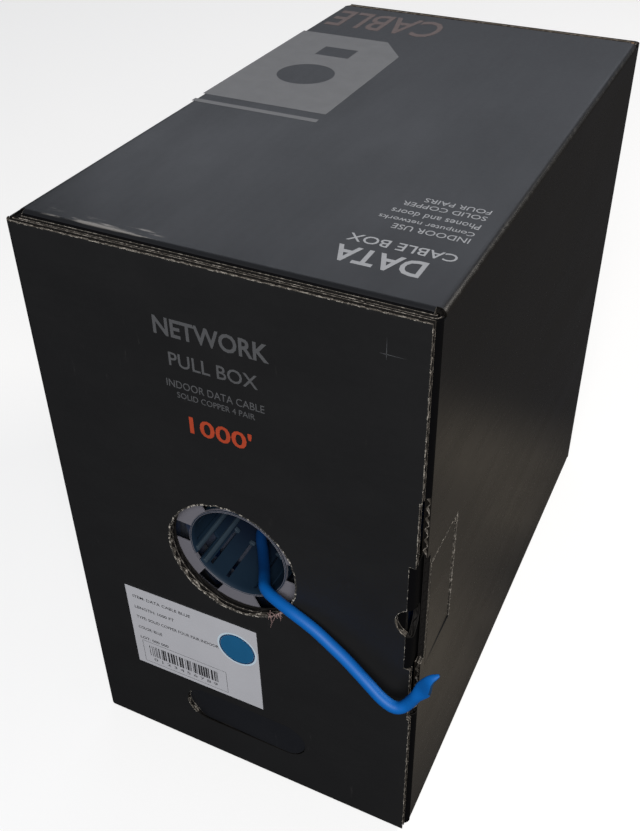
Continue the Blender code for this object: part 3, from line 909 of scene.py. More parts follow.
# ---------------------------------------------------------------- the frame's places
@dataclass(frozen=True)
class Places:
    """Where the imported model's faces are, with the board's own sizes."""

    half_width: float
    height: float
    trim: float
    door_top: float
    door_outer: float
    flap_outer: float
    dust_outer: float
    dust_free: float
    back: float
    back_flap: float
    back_dust: float
    door_right: float
    tube_x: float
    tube_z: float
    flange_front: float
    tube_end: float
    flange_radius: float
    coil_half: float
    coil_y: float
    coil_z: float
    coil_radius: float
    fold: float = 3.6 * MM
    board: float = 3.0 * MM
    touch: float = 0.3 * MM

    @classmethod
    def measured(cls) -> "Places":
        """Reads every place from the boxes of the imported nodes."""
        low, high = {}, {}
        for node in (
            "right_wall", "left_wall", "top_wall", "front_door", "front_inner_flap", "front_top_dust_flap",
            "back_outer_panel", "back_inner_flap", "back_top_dust_flap", "payout_tube", "cable_coil",
        ):
            low[node], high[node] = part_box(node)
        tube_low, tube_high = low["payout_tube"], high["payout_tube"]
        coil_low, coil_high = low["cable_coil"], high["cable_coil"]
        return cls(
            half_width=high["right_wall"].x,
            height=high["top_wall"].z,
            trim=low["front_door"].z,
            door_top=high["front_door"].z,
            door_outer=low["front_door"].y,
            flap_outer=low["front_inner_flap"].y,
            dust_outer=low["front_top_dust_flap"].y,
            dust_free=low["front_top_dust_flap"].z,
            back=high["back_outer_panel"].y,
            back_flap=high["back_inner_flap"].y,
            back_dust=high["back_top_dust_flap"].y,
            door_right=high["front_door"].x,
            tube_x=(tube_low.x + tube_high.x) / 2,
            tube_z=(tube_low.z + tube_high.z) / 2,
            flange_front=tube_low.y + 0.8 * MM,
            tube_end=tube_high.y,
            flange_radius=(tube_high.x - tube_low.x) / 2,
            coil_half=(coil_high.x - coil_low.x) / 2,
            coil_y=(coil_low.y + coil_high.y) / 2,
            coil_z=(coil_low.z + coil_high.z) / 2,
            coil_radius=(coil_high.z - coil_low.z) / 2,
        )

    @property
    def turn(self) -> float:
        """The outer face's length round a quarter fold."""
        return self.fold * math.pi / 2


@dataclass(frozen=True)
class DieCuts:
    """The openings that the die cuts through more than one piece of board."""

    payout_radius: float = 36.2 * MM
    hand_centre: float = 41.5 * MM
    hand_width: float = 78 * MM
    hand_height: float = 26 * MM
    hand_relief: float = 4 * MM
    slot_low: float = 103 * MM
    slot_high: float = 253 * MM
    tab_low: float = 143 * MM
    tab_high: float = 213 * MM
    tab_margin: float = 2 * MM
    window: tuple[float, float, float, float] = (-0.16745, 0.133, -0.13245, 0.207)


CUTS = DieCuts()


@dataclass
class Dressing:
    """The materials that several sub-assemblies share."""

    front: Material
    side: Material
    lid: Material
    kraft: Material
    cut: Material
    core: Material
    burr: Material
    shade: Material
    worn: Material

    @classmethod
    def mixed(cls, at: Places) -> "Dressing":
        """Makes the board's finishes for the carton's size."""
        size = {"half_width": at.half_width, "top": at.height, "front": at.door_outer}
        # Painted shade: black is a near-black, matt print for the flaps and the tab that lie in shadow.
        black, sheen_cool, reflection_warm = (0.0022, 0.0022, 0.0026), (0.0088, 0.0096, 0.0122), (0.0098, 0.0088, 0.0076)
        scuffed = (-0.09, -0.025, at.door_outer + 9 * MM, at.door_outer + 17 * MM)
        # Painted reflection: the lid's slightly cool tint, the hand flap's cooler tint and the side walls' warm tint
        # paint sheen and reflections that differ between faces of the same black print.
        lid = PrintedFace("print_lid", Flute.X, **size, colour=(0.0095, 0.01, 0.0115), scuffed=scuffed)
        return cls(
            front=PrintedFace("print_front", Flute.Z, **size, gloss=0.5).make(),
            shade=PrintedFace("print_shaded", Flute.Z, **size, colour=black, gloss=0.8, specular=0.05).make(),
            worn=PrintedFace("print_worn", Flute.Z, **size, colour=sheen_cool, gloss=0.45).make(),
            side=PrintedFace("print_side", Flute.Z, **size, colour=reflection_warm, gloss=0.27).make(),
            lid=lid.make(),
            kraft=Kraft().make(),
            cut=CutBoard().make(),
            # Painted shade: the core is a near-black kraft for the board's dark inside and for cut edges in shadow.
            core=Kraft("board_core_painted_shade", (0.006, 0.005, 0.0045)).make(),
            burr=Burr().make(),
        )

    def board(self, face: Material) -> list[Material]:
        """The five materials of a board, with its printed face."""
        return [face, self.kraft, self.cut, self.core, self.burr]

    def panel(self, blank: Blank, face: Material, body: str, node: str) -> None:
        """Builds a blank with a printed face and puts it on a body in a CAD node's place."""
        fitted(blank.build(node + "_board", self.board(face)), body, "printed_board", node)


def fitted(piece: Piece, body: str, slot: str, *nodes: str) -> None:
    """Puts a piece on a body and logs it.

    Args:
        piece: the piece.
        body: the body that it rides on.
        slot: its finish's slot; not used.
        nodes: the CAD nodes that it stands for.
    """
    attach(piece, body)
    if nodes:
        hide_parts(*nodes)
    LOG.info("%s on %s: %d faces", piece.name, body, len(piece.data.polygons))


# ---------------------------------------------------------------- carton
def paint_level(piece: Piece) -> None:
    """Gives a piece's printed faces the lid's material where they are nearly level, with its scuffs and its cooler
    tint, a painted sheen on the faces that look up or down.
    """
    normals = np.zeros(3 * len(piece.data.polygons))
    piece.data.polygons.foreach_get("normal", normals)
    slots = np.zeros(len(piece.data.polygons), np.int32)
    piece.data.polygons.foreach_get("material_index", slots)
    slots[(slots == Cut.PRINTED) & (np.abs(normals.reshape(-1, 3)[:, 2]) > 0.7)] = LID
    piece.data.polygons.foreach_set("material_index", slots)


@dataclass
class Sleeve:
    """The four walls round the Y axis as one folded sheet, with the slot and lock flap cut out."""

    at: Places
    dress: Dressing
    tab_depth: float = 11 * MM
    rise_over: float = 2.6 * MM
    window_burr: float = 0.75 * MM

    def path(self) -> FoldPath:
        """Round the walls from the left wall's foot: bottom, right, top and left."""
        at = self.at
        across = Leg(2 * at.half_width - 2 * at.fold, 90.0, at.fold)
        up = Leg(at.height - 2 * at.fold, 90.0, at.fold)
        down = Leg(at.height - 2 * at.fold - at.touch)
        legs = (Leg(0.0, 90.0, at.fold), across, up, across, down)
        return FoldPath((-at.half_width, at.fold), -90.0, 1, (0, 2), 1, legs)

    def build(self) -> None:
        """Builds the walls and dresses lid and underside apart from the sides, whose warm-tinted print paints a
        reflection.
        """
        at = self.at
        wide, tall = 2 * (at.half_width - at.fold), at.height - 2 * at.fold
        right = at.turn + wide + at.turn
        top = right + tall + at.turn
        left = top + wide + at.turn
        end, over, tip = left + tall - at.touch, left - self.rise_over, right + tall
        dust_front, dust_back = at.dust_outer + at.fold, at.back_dust - at.fold
        right_front, left_front = at.flap_outer + at.fold, at.door_outer + at.fold
        right_back, left_back = at.back - at.fold, at.back_flap - at.fold
        recess = at.door_outer + self.tab_depth

        def rise(z: float) -> float:
            """The u of a height on the right wall."""
            return right + z - at.fold

        tab_low, tab_high = rise(CUTS.tab_low - CUTS.tab_margin), rise(CUTS.tab_high + CUTS.tab_margin)
        outline = np.array(
            [
                *((0.0, dust_front), (right, dust_front), (right, right_front), (tab_low, right_front)),
                *((tab_low, recess), (tab_high, recess), (tab_high, right_front), (tip, right_front)),
                *((tip, dust_front), (over, dust_front), (over, left_front), (end, left_front), (end, left_back)),
                *((over, left_back), (over, dust_back), (tip, dust_back), (tip, right_back), (right, right_back)),
                *((right, dust_back), (0.0, dust_back)),
            ]
        )
        y0, z0, y1, z1 = CUTS.window
        opening = np.array([(rise(z0), y0), (rise(z0), y1), (rise(z1), y1), (rise(z1), y0)])

        def cut(sheet: Array) -> Array:
            """Printed where flaps fold off; black print low on the lock window and near-black core behind the tab,
            both painted shade; raw elsewhere.
            """
            u, y = sheet[:, 0], sheet[:, 1]
            in_slot = (u > rise(CUTS.slot_low) + 1e-6) & (u < rise(CUTS.slot_high) - 1e-6) & (y < -0.1)
            ends = (y < right_front + 8 * MM) | (y > dust_back - 0.5 * MM)
            kind = np.where(ends & ~in_slot, Cut.PRINTED, Cut.RAW)
            # Painted shade: the edges behind the tab and at the slot's window side take the near-black core material.
            kind = np.where(in_slot & (np.abs(y - recess) < 0.05 * MM), Cut.PAINTED_SHADE, kind)
            # Painted shade: the lock window's lower edges take the black print.
            low_window = (y > y0 - 1 * MM) & (y < y1 + 1 * MM) & (np.abs(u - rise(z0)) < 16 * MM) & ~ends
            kind = np.where(low_window, Cut.PRINTED, kind)
            return np.where(in_slot & (np.abs(y - y0) < 0.3 * MM), Cut.PAINTED_SHADE, kind)

        blank = Blank(outline, self.path(), (opening,), flute_axis=0, cut=cut, burrs={1: self.window_burr})
        piece = blank.build("carton_sleeve", [*self.dress.board(self.dress.side), self.dress.lid])
        paint_level(piece)
        fitted(piece, "root", "printed_board", "right_wall", "left_wall", "top_wall", "bottom_wall")


def folded_off(sheet: Array) -> Array:
    """The edge at u = 0, where a flap folds off its wall, is printed; the others are raw."""
    return np.where(sheet[:, 0] < 0.4 * MM, Cut.PRINTED, Cut.RAW)


@dataclass
class EndFlaps:
    """The flaps folded off the walls at both ends, all but the door."""

    at: Places
    dress: Dressing
    side_gap: float = 1.2 * MM
    free_gap: float = 2.0 * MM
    panel_gap: float = 1.8 * MM
    slot_reach: float = 7.5 * MM
    lean: float = 0.35 * MM

    def dust(self, name: str, front: bool, top: bool) -> None:
        """A short flap folded off the top or bottom wall.

        Args:
            name: the CAD node that it stands for.
            front: whether it is at the front.
            top: whether it folds off the top wall.
        """
        at = self.at
        reach = at.half_width - at.board - self.side_gap
        face = at.dust_outer if front else at.back_dust
        level = at.height if top else 0.0
        start = (face + at.fold if front else face - at.fold, level)
        heading = 180.0 if front else 0.0
        side = (1 if front else -1) * (1 if top else -1)
        path = flap_path(start, heading, side, at.fold, (1, 2))
        length = at.turn + (at.height - at.dust_free) - at.fold
        outline = np.array([(0.0, -reach), (length, -reach), (length, reach), (0.0, reach)])
        holes: tuple[Array, ...] = ()
        if front and not top:
            centre = (at.turn + CUTS.hand_centre - at.fold, 0.0)
            holes = (slot_loop((0.0, 0.0), 88 * MM, 37 * MM)[:, ::-1] + np.array(centre),)
        blank = Blank(outline, path, holes, cut=folded_off)
        # Painted shade: the front flaps lie behind the door and take the near-black shade print.
        face = self.dress.shade if front else self.dress.front
        piece = blank.build(name + "_board", [*self.dress.board(face), self.dress.lid])
        paint_level(piece)
        fitted(piece, "root", "printed_board", name)

    def inner(self) -> None:
        """The front flap folded off the right wall, cut away round the slot, hole and hand hole."""
        at = self.at
        path = flap_path((at.half_width, at.flap_outer + at.fold), -90.0, -1, at.fold)
        base = at.turn + at.half_width - at.fold
        free = base + at.half_width - at.board - self.free_gap
        notch = base - (at.half_width - self.slot_reach)
        low, high = CUTS.slot_low, CUTS.slot_high
        outline = np.array(
            [
                *((0.0, at.trim), (free, at.trim), (free, at.door_top), (0.0, at.door_top)),
                *((0.0, high), (notch, high), (notch, low), (0.0, low)),
            ]
        )
        payout = ring((base - at.tube_x, at.tube_z), CUTS.payout_radius + 0.25 * MM, 120)[::-1]
        wide, tall = CUTS.hand_width + 2 * CUTS.hand_relief, CUTS.hand_height + 2 * CUTS.hand_relief
        hand = slot_loop((base, CUTS.hand_centre), wide, tall)[::-1]

        def lean(points: Array) -> Array:
            """Tips the flap towards the door: nothing at its crease and the lean at its free edge."""
            moved = np.zeros_like(points)
            share = np.clip((at.half_width - points[:, 0]) / (2 * at.half_width), 0.0, 1.0)
            moved[:, 1] = -self.lean * share
            return moved

        def cut(sheet: Array) -> Array:
            """Printed at the crease, raw along the top, near-black elsewhere as painted shade."""
            below = np.where(sheet[:, 0] < 0.4 * MM, Cut.PRINTED, Cut.PAINTED_SHADE)
            return np.where(sheet[:, 1] > at.door_top - 0.5 * MM, Cut.RAW, below)

        spec = BoardSpec(seed=5)
        # Painted shade: the flap takes the near-black shade print, and its printed liner's edges the core material.
        blank = Blank(outline, path, (payout, hand), spec=spec, bow=lean, cut=cut, hushed=True)
        self.dress.panel(blank, self.dress.shade, "root", "front_inner_flap")

    def back(self) -> None:
        """The two tall flaps that close the back, the right wall's outside."""
        at = self.at
        for name, side, face, short in (
            ("back_outer_panel", 1, at.back, self.panel_gap),
            ("back_inner_flap", -1, at.back_flap, at.board + self.free_gap),
        ):
            path = flap_path((side * at.half_width, face - at.fold), 90.0, side, at.fold)
            length = at.turn + 2 * at.half_width - at.fold - short
            outline = np.array([(0.0, at.trim), (length, at.trim), (length, at.door_top), (0.0, at.door_top)])
            self.dress.panel(Blank(outline, path, cut=folded_off), self.dress.front, "root", name)

    def build(self) -> None:
        """Builds the seven flaps."""
        for end in ("front", "back"):
            for wall in ("top", "bottom"):
                self.dust(f"{end}_{wall}_dust_flap", end == "front", wall == "top")
        self.inner()
        self.back()


@dataclass
class FrontDoor:
    """The outer front flap: fold, face, cut-outs, tuck tab and push-in hand hole."""

    at: Places
    dress: Dressing
    step: float = 1.0 * MM
    tab_fold: float = 3.2 * MM
    tab_turn_deg: float = 96.0
    tab_reach: float = 24 * MM
    chamfer: float = 12 * MM
    thumb_height: float = 175 * MM
    thumb_radius: float = 9.8 * MM
    relief: float = 0.4 * MM
    payout_burr: float = 0.85 * MM
    pushed: float = 3.4 * MM

    def crease_x(self) -> float:
        """Where the tab's fold starts on the door."""
        return self.at.door_right - self.step - self.tab_fold

    def thumb(self, middle: float, angle: Array) -> Array:
        """Points of the thumb notch at some angles about a middle u."""
        across, up = self.thumb_radius * np.cos(angle), self.thumb_radius * np.sin(angle)
        return np.stack([middle + across, self.thumb_height + up], axis=1)

    def face(self) -> None:
        """The door, folded off the left wall."""
        at = self.at
        base = at.turn + at.half_width - at.fold
        rng = np.random.default_rng(11)
        x0 = self.crease_x()
        edge, inner = base + at.door_right, base + at.door_right - self.step
        half = math.acos((at.door_right - x0) / self.thumb_radius)
        angle = np.linspace(-math.pi + half, -math.pi - half, 22)
        notch = self.thumb(edge, angle)
        notch = notch[np.argsort(notch[:, 1])]
        outline = np.vstack(
            [
                [(0.0, at.trim), (edge, at.trim), (edge, CUTS.slot_low), (inner, CUTS.slot_low)],
                [(inner, CUTS.tab_low - self.relief), (base + x0, CUTS.tab_low - self.relief)],
                notch,
                [(base + x0, CUTS.tab_high + self.relief), (inner, CUTS.tab_high + self.relief)],
                [(inner, CUTS.slot_high), (edge, CUTS.slot_high), (edge, at.door_top), (0.0, at.door_top)],
            ]
        )
        payout = ring((base + at.tube_x, at.tube_z), CUTS.payout_radius, 160)[::-1]
        ragged = rng.normal(0.0, 0.16 * MM, len(payout))
        ragged = (ragged + np.roll(ragged, 1)) / 1.6
        payout = payout + left_normals(payout) * -np.clip(ragged, -0.3 * MM, 0.35 * MM)[:, None]
        hand = slot_loop((base, CUTS.hand_centre), CUTS.hand_width, CUTS.hand_height)[::-1]
        path = flap_path((-at.half_width, at.door_outer + at.fold), -90.0, 1, at.fold)
        left_end = base - CUTS.hand_width / 2 + 6 * MM

        def cut(sheet: Array) -> Array:
            """Near-black round the hand hole as painted shade, but raw at its lower left; printed at the fold, raw
            elsewhere.
            """
            u, z = sheet[:, 0], sheet[:, 1]
            near = np.abs(u - base) < CUTS.hand_width / 2 + 1 * MM
            near &= np.abs(z - CUTS.hand_centre) < CUTS.hand_height / 2 + 1 * MM
            kind = np.where(near & ((u > left_end) | (z > CUTS.hand_centre)), Cut.PAINTED_SHADE, Cut.RAW)
            return np.where(u < 0.4 * MM, Cut.PRINTED, kind)

        blank = Blank(outline, path, (payout, hand), spec=BoardSpec(seed=7), cut=cut, burrs={1: self.payout_burr})
        door = blank.build("front_door_board", self.dress.board(self.dress.front))
        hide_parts("front_door")
        start = (-at.half_width, at.door_outer + at.fold, at.height / 2)
        stop = (-at.half_width + at.fold, at.door_outer, at.height / 2)
        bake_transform(door)
        LOG.info("front_door_board blends from root to door: %d faces", len(door.data.polygons))

    def tab(self) -> None:
        """The tuck tab, folded back off the door's free edge into the slot."""
        at = self.at
        x0 = self.crease_x()
        turn = math.radians(self.tab_turn_deg)
        sunk = self.tab_fold * (1 - math.cos(turn))
        length = self.tab_fold * turn + (self.tab_reach - sunk) / math.sin(turn)
        path = flap_path((x0, at.door_outer), 0.0, 1, self.tab_fold, turn_deg=self.tab_turn_deg)
        centre = at.door_right - x0
        half = math.acos(-centre / self.thumb_radius)
        angle = np.linspace(half, -half, 26)
        notch = self.thumb(centre, angle)
        notch = notch[notch[:, 0] > -1e-6]
        outline = np.vstack(
            [
                [(0.0, CUTS.tab_low), (length - self.chamfer, CUTS.tab_low), (length, CUTS.tab_low + self.chamfer)],
                [(length, CUTS.tab_high - self.chamfer), (length - self.chamfer, CUTS.tab_high), (0.0, CUTS.tab_high)],
                notch,
            ]
        )

        def cut(sheet: Array) -> Array:
            """Near-black all round, painted shade."""
            return np.full(len(sheet), Cut.PAINTED_SHADE)

        # Painted shade: the tab takes the near-black shade print, as it lies in shadow.
        blank = Blank(outline, path, spec=BoardSpec(seed=9), cut=cut)
        self.dress.panel(blank, self.dress.shade, "door", "door_tuck_tab")

    def hand_flap(self) -> None:
        """The push-in flap of the hand hole, its left end pressed in, in a bluer print that paints a sheen."""
        at = self.at
        path = FoldPath((0.0, at.door_outer), 0.0, 1, (0, 1), 2, (Leg(1.0),))
        gap = 0.7 * MM
        loop = slot_loop((0.0, CUTS.hand_centre), CUTS.hand_width - gap, CUTS.hand_height - gap)
        left, top = -CUTS.hand_width / 2, CUTS.hand_centre + CUTS.hand_height / 2

        def pressed(points: Array) -> Array:
            """Moves points in.

            The left end moves by the push times a power of its nearness, the whole by 0.4 mm more at
            its foot, the right end's foot by up to 1.5 mm, and a dimple is a Gaussian 0.5 mm deep.
            """
            x, z = points[:, 0], points[:, 2]
            along = np.clip(1.0 - (x - left) / (24 * MM), 0.0, 1.0)
            down = np.clip((top - z) / CUTS.hand_height, 0.0, 1.0)
            right = np.clip(1.0 + (x + left) / (9 * MM), 0.0, 1.0)
            dimple = np.exp(-(((x + 13 * MM) / (2.2 * MM)) ** 2) - ((z - CUTS.hand_centre) / (1.8 * MM)) ** 2)
            moved = np.zeros_like(points)
            moved[:, 1] = self.pushed * along**1.6 * (0.25 + 0.75 * down)
            moved[:, 1] += (0.4 * down + 1.5 * right**2 * down + 0.5 * dimple) * MM
            return moved

        def cut(sheet: Array) -> Array:
            """Raw at the pressed end and near-black elsewhere, painted shade."""
            return np.where(sheet[:, 0] < left + 7 * MM, Cut.RAW, Cut.PAINTED_SHADE)

        blank = Blank(loop, path, spec=BoardSpec(seed=13), bow=pressed, cut=cut)
        self.dress.panel(blank, self.dress.worn, "hand_flap", "hand_hole_flap")

    def build(self) -> None:
        """Builds the door's three pieces of board."""
        self.face()
        self.tab()
        self.hand_flap()


@dataclass
class LockFlap:
    """The die-cut flap in the right wall, creased along its front edge and pushed in a little."""

    at: Places
    dress: Dressing
    gap: float = 0.45 * MM
    wide_gap: float = 0.9 * MM
    slit: float = 0.12 * MM
    pushed_deg: float = 1.0
    burr: float = 0.7 * MM

    def build(self) -> None:
        """Builds the flap as a flat blank in (y, z)."""
        at = self.at
        y0, z0, y1, z1 = CUTS.window
        path = FoldPath((at.half_width, 0.0), 90.0, 1, (0, 1), 2, (Leg(1.0),))
        near, far, low, high = y0 + self.gap, y1 - self.wide_gap, z0 + self.slit, z1 - self.wide_gap
        outline = np.array([(near, low), (far, low), (far, high), (near, high)])
        tilt = math.tan(math.radians(self.pushed_deg))

        def pushed(points: Array) -> Array:
            """Moves points in by their distance from the crease times the tilt."""
            moved = np.zeros_like(points)
            moved[:, 0] = -(points[:, 1] - y0) * tilt
            return moved

        def cut(sheet: Array) -> Array:
            """Raw along the top and the upper part of the far side; printed elsewhere, where the black print paints
            shade on the cut edges.
            """
            raw = (sheet[:, 1] > z0 + 16 * MM) & (sheet[:, 0] > y0 + 1.5 * MM)
            return np.where(raw, Cut.RAW, Cut.PRINTED)

        blank = Blank(outline, path, spec=BoardSpec(seed=15, burr=self.burr), bow=pushed, cut=cut)
        self.dress.panel(blank, self.dress.side, "lock_flap", "side_lock_flap")


# ---------------------------------------------------------------- print
@dataclass(frozen=True)
class TextLine:
    """A line of generic lettering and the box it fills: its left, low, right and high edges."""

    words: str
    left: float
    low: float
    right: float
    high: float
    bold: float = 0.0


def lettering(line: TextLine) -> tuple[Array, list[list[int]]]:
    """The line's letters as flat faces, scaled to fill its box."""
    curve = bpy.data.curves.new("letters", "FONT")
    curve.body = line.words
    curve.offset = line.bold
    curve.resolution_u = 3
    holder = bpy.data.objects.new("letters", curve)
    bpy.context.scene.collection.objects.link(holder)
    bpy.context.view_layer.update()
    mesh = bpy.data.meshes.new_from_object(holder.evaluated_get(bpy.context.evaluated_depsgraph_get()))
    points = np.zeros(3 * len(mesh.vertices))
    mesh.vertices.foreach_get("co", points)
    points = points.reshape(-1, 3)[:, :2]
    faces = [list(polygon.vertices) for polygon in mesh.polygons]
    bpy.data.objects.remove(holder)
    bpy.data.curves.remove(curve)
    bpy.data.meshes.remove(mesh)
    low, high = points.min(axis=0), points.max(axis=0)
    size = np.array([line.right - line.left, line.high - line.low])
    return np.array([line.left, line.low]) + (points - low) / (high - low) * size, faces


@dataclass
class PrintSheet:
    """Flat shapes gathered on one face, then raised by an ink's thickness."""

    place: Callable[[Array, float], Array]
    thickness: float = 0.06 * MM
    points: list[Array] = field(default_factory=list)
    faces: list[list[int]] = field(default_factory=list)

    def shape(self, points: Array, faces: Sequence[Sequence[int]]) -> None:
        """Adds flat faces."""
        first = sum(len(group) for group in self.points)
        self.points.append(points)
        self.faces += [[first + corner for corner in face] for face in faces]

    def loops(self, *loops: Array) -> None:
        """Adds a filled outline with holes."""
        points, triangles = filled(loops)
        self.shape(points, triangles.tolist())

    def bar(self, left: float, low: float, right: float, high: float) -> None:
        """Adds a rectangle."""
        self.shape(np.array([(left, low), (right, low), (right, high), (left, high)]), [[0, 1, 2, 3]])

    def text(self, line: TextLine) -> None:
        """Adds a line of lettering."""
        self.shape(*lettering(line))

    def put(self, name: str, ink: "Ink", body: str, slot: str = "printed_board") -> None:
        """Builds the print in an ink and puts it on a body."""
        fitted(self.build(name, ink.make()), body, slot)

    def build(self, name: str, material: Material) -> Piece:
        """Makes the print a closed, very thin solid."""
        flat = np.vstack(self.points)
        data = bpy.data.meshes.new(name)
        data.from_pydata(self.place(flat, 0.0).tolist(), [], self.faces)
        data.materials.append(material)
        shell = bmesh.new()
        shell.from_mesh(data)
        bmesh.ops.remove_doubles(shell, verts=shell.verts, dist=0.001 * MM)
        swept_up = bmesh.ops.extrude_face_region(shell, geom=list(shell.faces))["geom"]
        up = Vector((self.place(flat[:1], self.thickness) - self.place(flat[:1], 0.0))[0])
        bmesh.ops.translate(shell, verts=[v for v in swept_up if isinstance(v, bmesh.types.BMVert)], vec=up)
        bmesh.ops.recalc_face_normals(shell, faces=shell.faces)
        shell.to_mesh(data)
        shell.free()
        made = bpy.data.objects.new(name, data)
        bpy.context.scene.collection.objects.link(made)
        return made


@dataclass
class Graphics:
    """Generic print on the front and lid, at the places and sizes of a pull box's usual print."""

    at: Places

    def on_front(self, flat: Array, raised: float) -> Array:
        """(x from the left edge, z) on the door."""
        y = np.full(len(flat), self.at.door_outer - 0.02 * MM - raised)
        return np.stack([flat[:, 0] - self.at.half_width, y, flat[:, 1]], axis=1)

    def on_lid(self, flat: Array, raised: float) -> Array:
        """(x from the left edge, y from the front corner) on the lid."""
        corner = self.at.door_outer + 5.6 * MM
        z = np.full(len(flat), self.at.height + 0.02 * MM + raised)
        return np.stack([flat[:, 0] - self.at.half_width, corner + flat[:, 1], z], axis=1)

    def turned(self, line: TextLine) -> tuple[Array, list[list[int]]]:
        """A line of lettering turned by half a turn about its box's middle."""
        points, faces = lettering(line)
        return np.array([line.left + line.right, line.low + line.high]) - points, faces

    def front(self) -> None:
        """The door's lines of print and its length figure."""
        sheet = PrintSheet(self.on_front)
        sheet.text(TextLine("NETWORK", 73.5 * MM, 304.6 * MM, 130.5 * MM, 314.2 * MM, 0.022))
        sheet.text(TextLine("PULL BOX", 79.7 * MM, 289.2 * MM, 124.3 * MM, 296.6 * MM, 0.008))
        sheet.text(TextLine("INDOOR DATA CABLE", 77 * MM, 277.3 * MM, 127 * MM, 281.4 * MM))
        sheet.text(TextLine("SOLID COPPER 4 PAIR", 82 * MM, 272 * MM, 122 * MM, 275.2 * MM))
        sheet.put("front_print", Ink("ink_grey", (0.085, 0.087, 0.092)), "door")
        dent = PrintSheet(self.on_front)
        x, z, reach, half = 183 * MM, 325 * MM, 8.5 * MM, 0.16 * MM
        for turn in range(4):
            ahead = np.array([math.cos(turn * math.pi / 2), math.sin(turn * math.pi / 2)])
            side = np.array([-ahead[1], ahead[0]])
            far = reach if turn < 2 else reach * 0.35
            corners = np.array([x, z]) + np.stack([-half * side, far * ahead, half * side])
            dent.shape(corners, [[0, 1, 2]])
        dent.put("front_dent_mark", Ink("dent_grey", (0.07, 0.072, 0.078)), "door")
        figure = PrintSheet(self.on_front)
        figure.text(TextLine("1000'", 86.8 * MM, 252.9 * MM, 119.5 * MM, 262.9 * MM, 0.016))
        figure.put("front_length_print", Ink("ink_orange", (0.4, 0.055, 0.022), 0.5, 0.5), "door")

    def lid(self) -> None:
        """The lid's lettering, which reads from the back, and a plain pictogram of a box."""
        sheet = PrintSheet(self.on_lid)
        for line in (
            TextLine("DATA", 144.5 * MM, 21 * MM, 184.5 * MM, 34 * MM, 0.02),
            TextLine("CABLE BOX", 145 * MM, 38.5 * MM, 193.5 * MM, 45 * MM, 0.006),
            TextLine("INDOOR USE", 158 * MM, 56 * MM, 193 * MM, 60.4 * MM),
            TextLine("Computer networks", 149 * MM, 62.6 * MM, 193 * MM, 67.4 * MM),
            TextLine("Phones and doors", 152 * MM, 69.4 * MM, 193 * MM, 74 * MM),
            TextLine("SOLID COPPER", 154 * MM, 78.4 * MM, 193 * MM, 82.4 * MM),
            TextLine("FOUR PAIRS", 162 * MM, 84.8 * MM, 193 * MM, 88.8 * MM),
        ):
            sheet.shape(*self.turned(line))
        sheet.put("lid_print", Ink("ink_lid", (0.34, 0.35, 0.37)), "root")
        block = PrintSheet(self.on_lid)
        box = np.array([(1, 160), (77, 160), (77, 262), (60, 285), (1, 285)]) * MM
        grip = np.array([(28, 246), (28, 262), (50, 262), (50, 246)]) * MM
        block.loops(box, ring((39 * MM, 212 * MM), 17 * MM, 48)[::-1], grip)
        block.bar(1 * MM, 148 * MM, 77 * MM, 152 * MM)
        block.put("lid_pictogram", Ink("ink_block", (0.155, 0.158, 0.165)), "root")
        far = PrintSheet(self.on_lid)
        far.shape(*self.turned(TextLine("CABLE", 6 * MM, 303 * MM, 82 * MM, 337 * MM, 0.012)))
        far.put("lid_far_print", Ink("ink_brown", (0.12, 0.09, 0.085)), "root")

    def build(self) -> None:
        """Prints both faces."""
        self.front()
        self.lid()


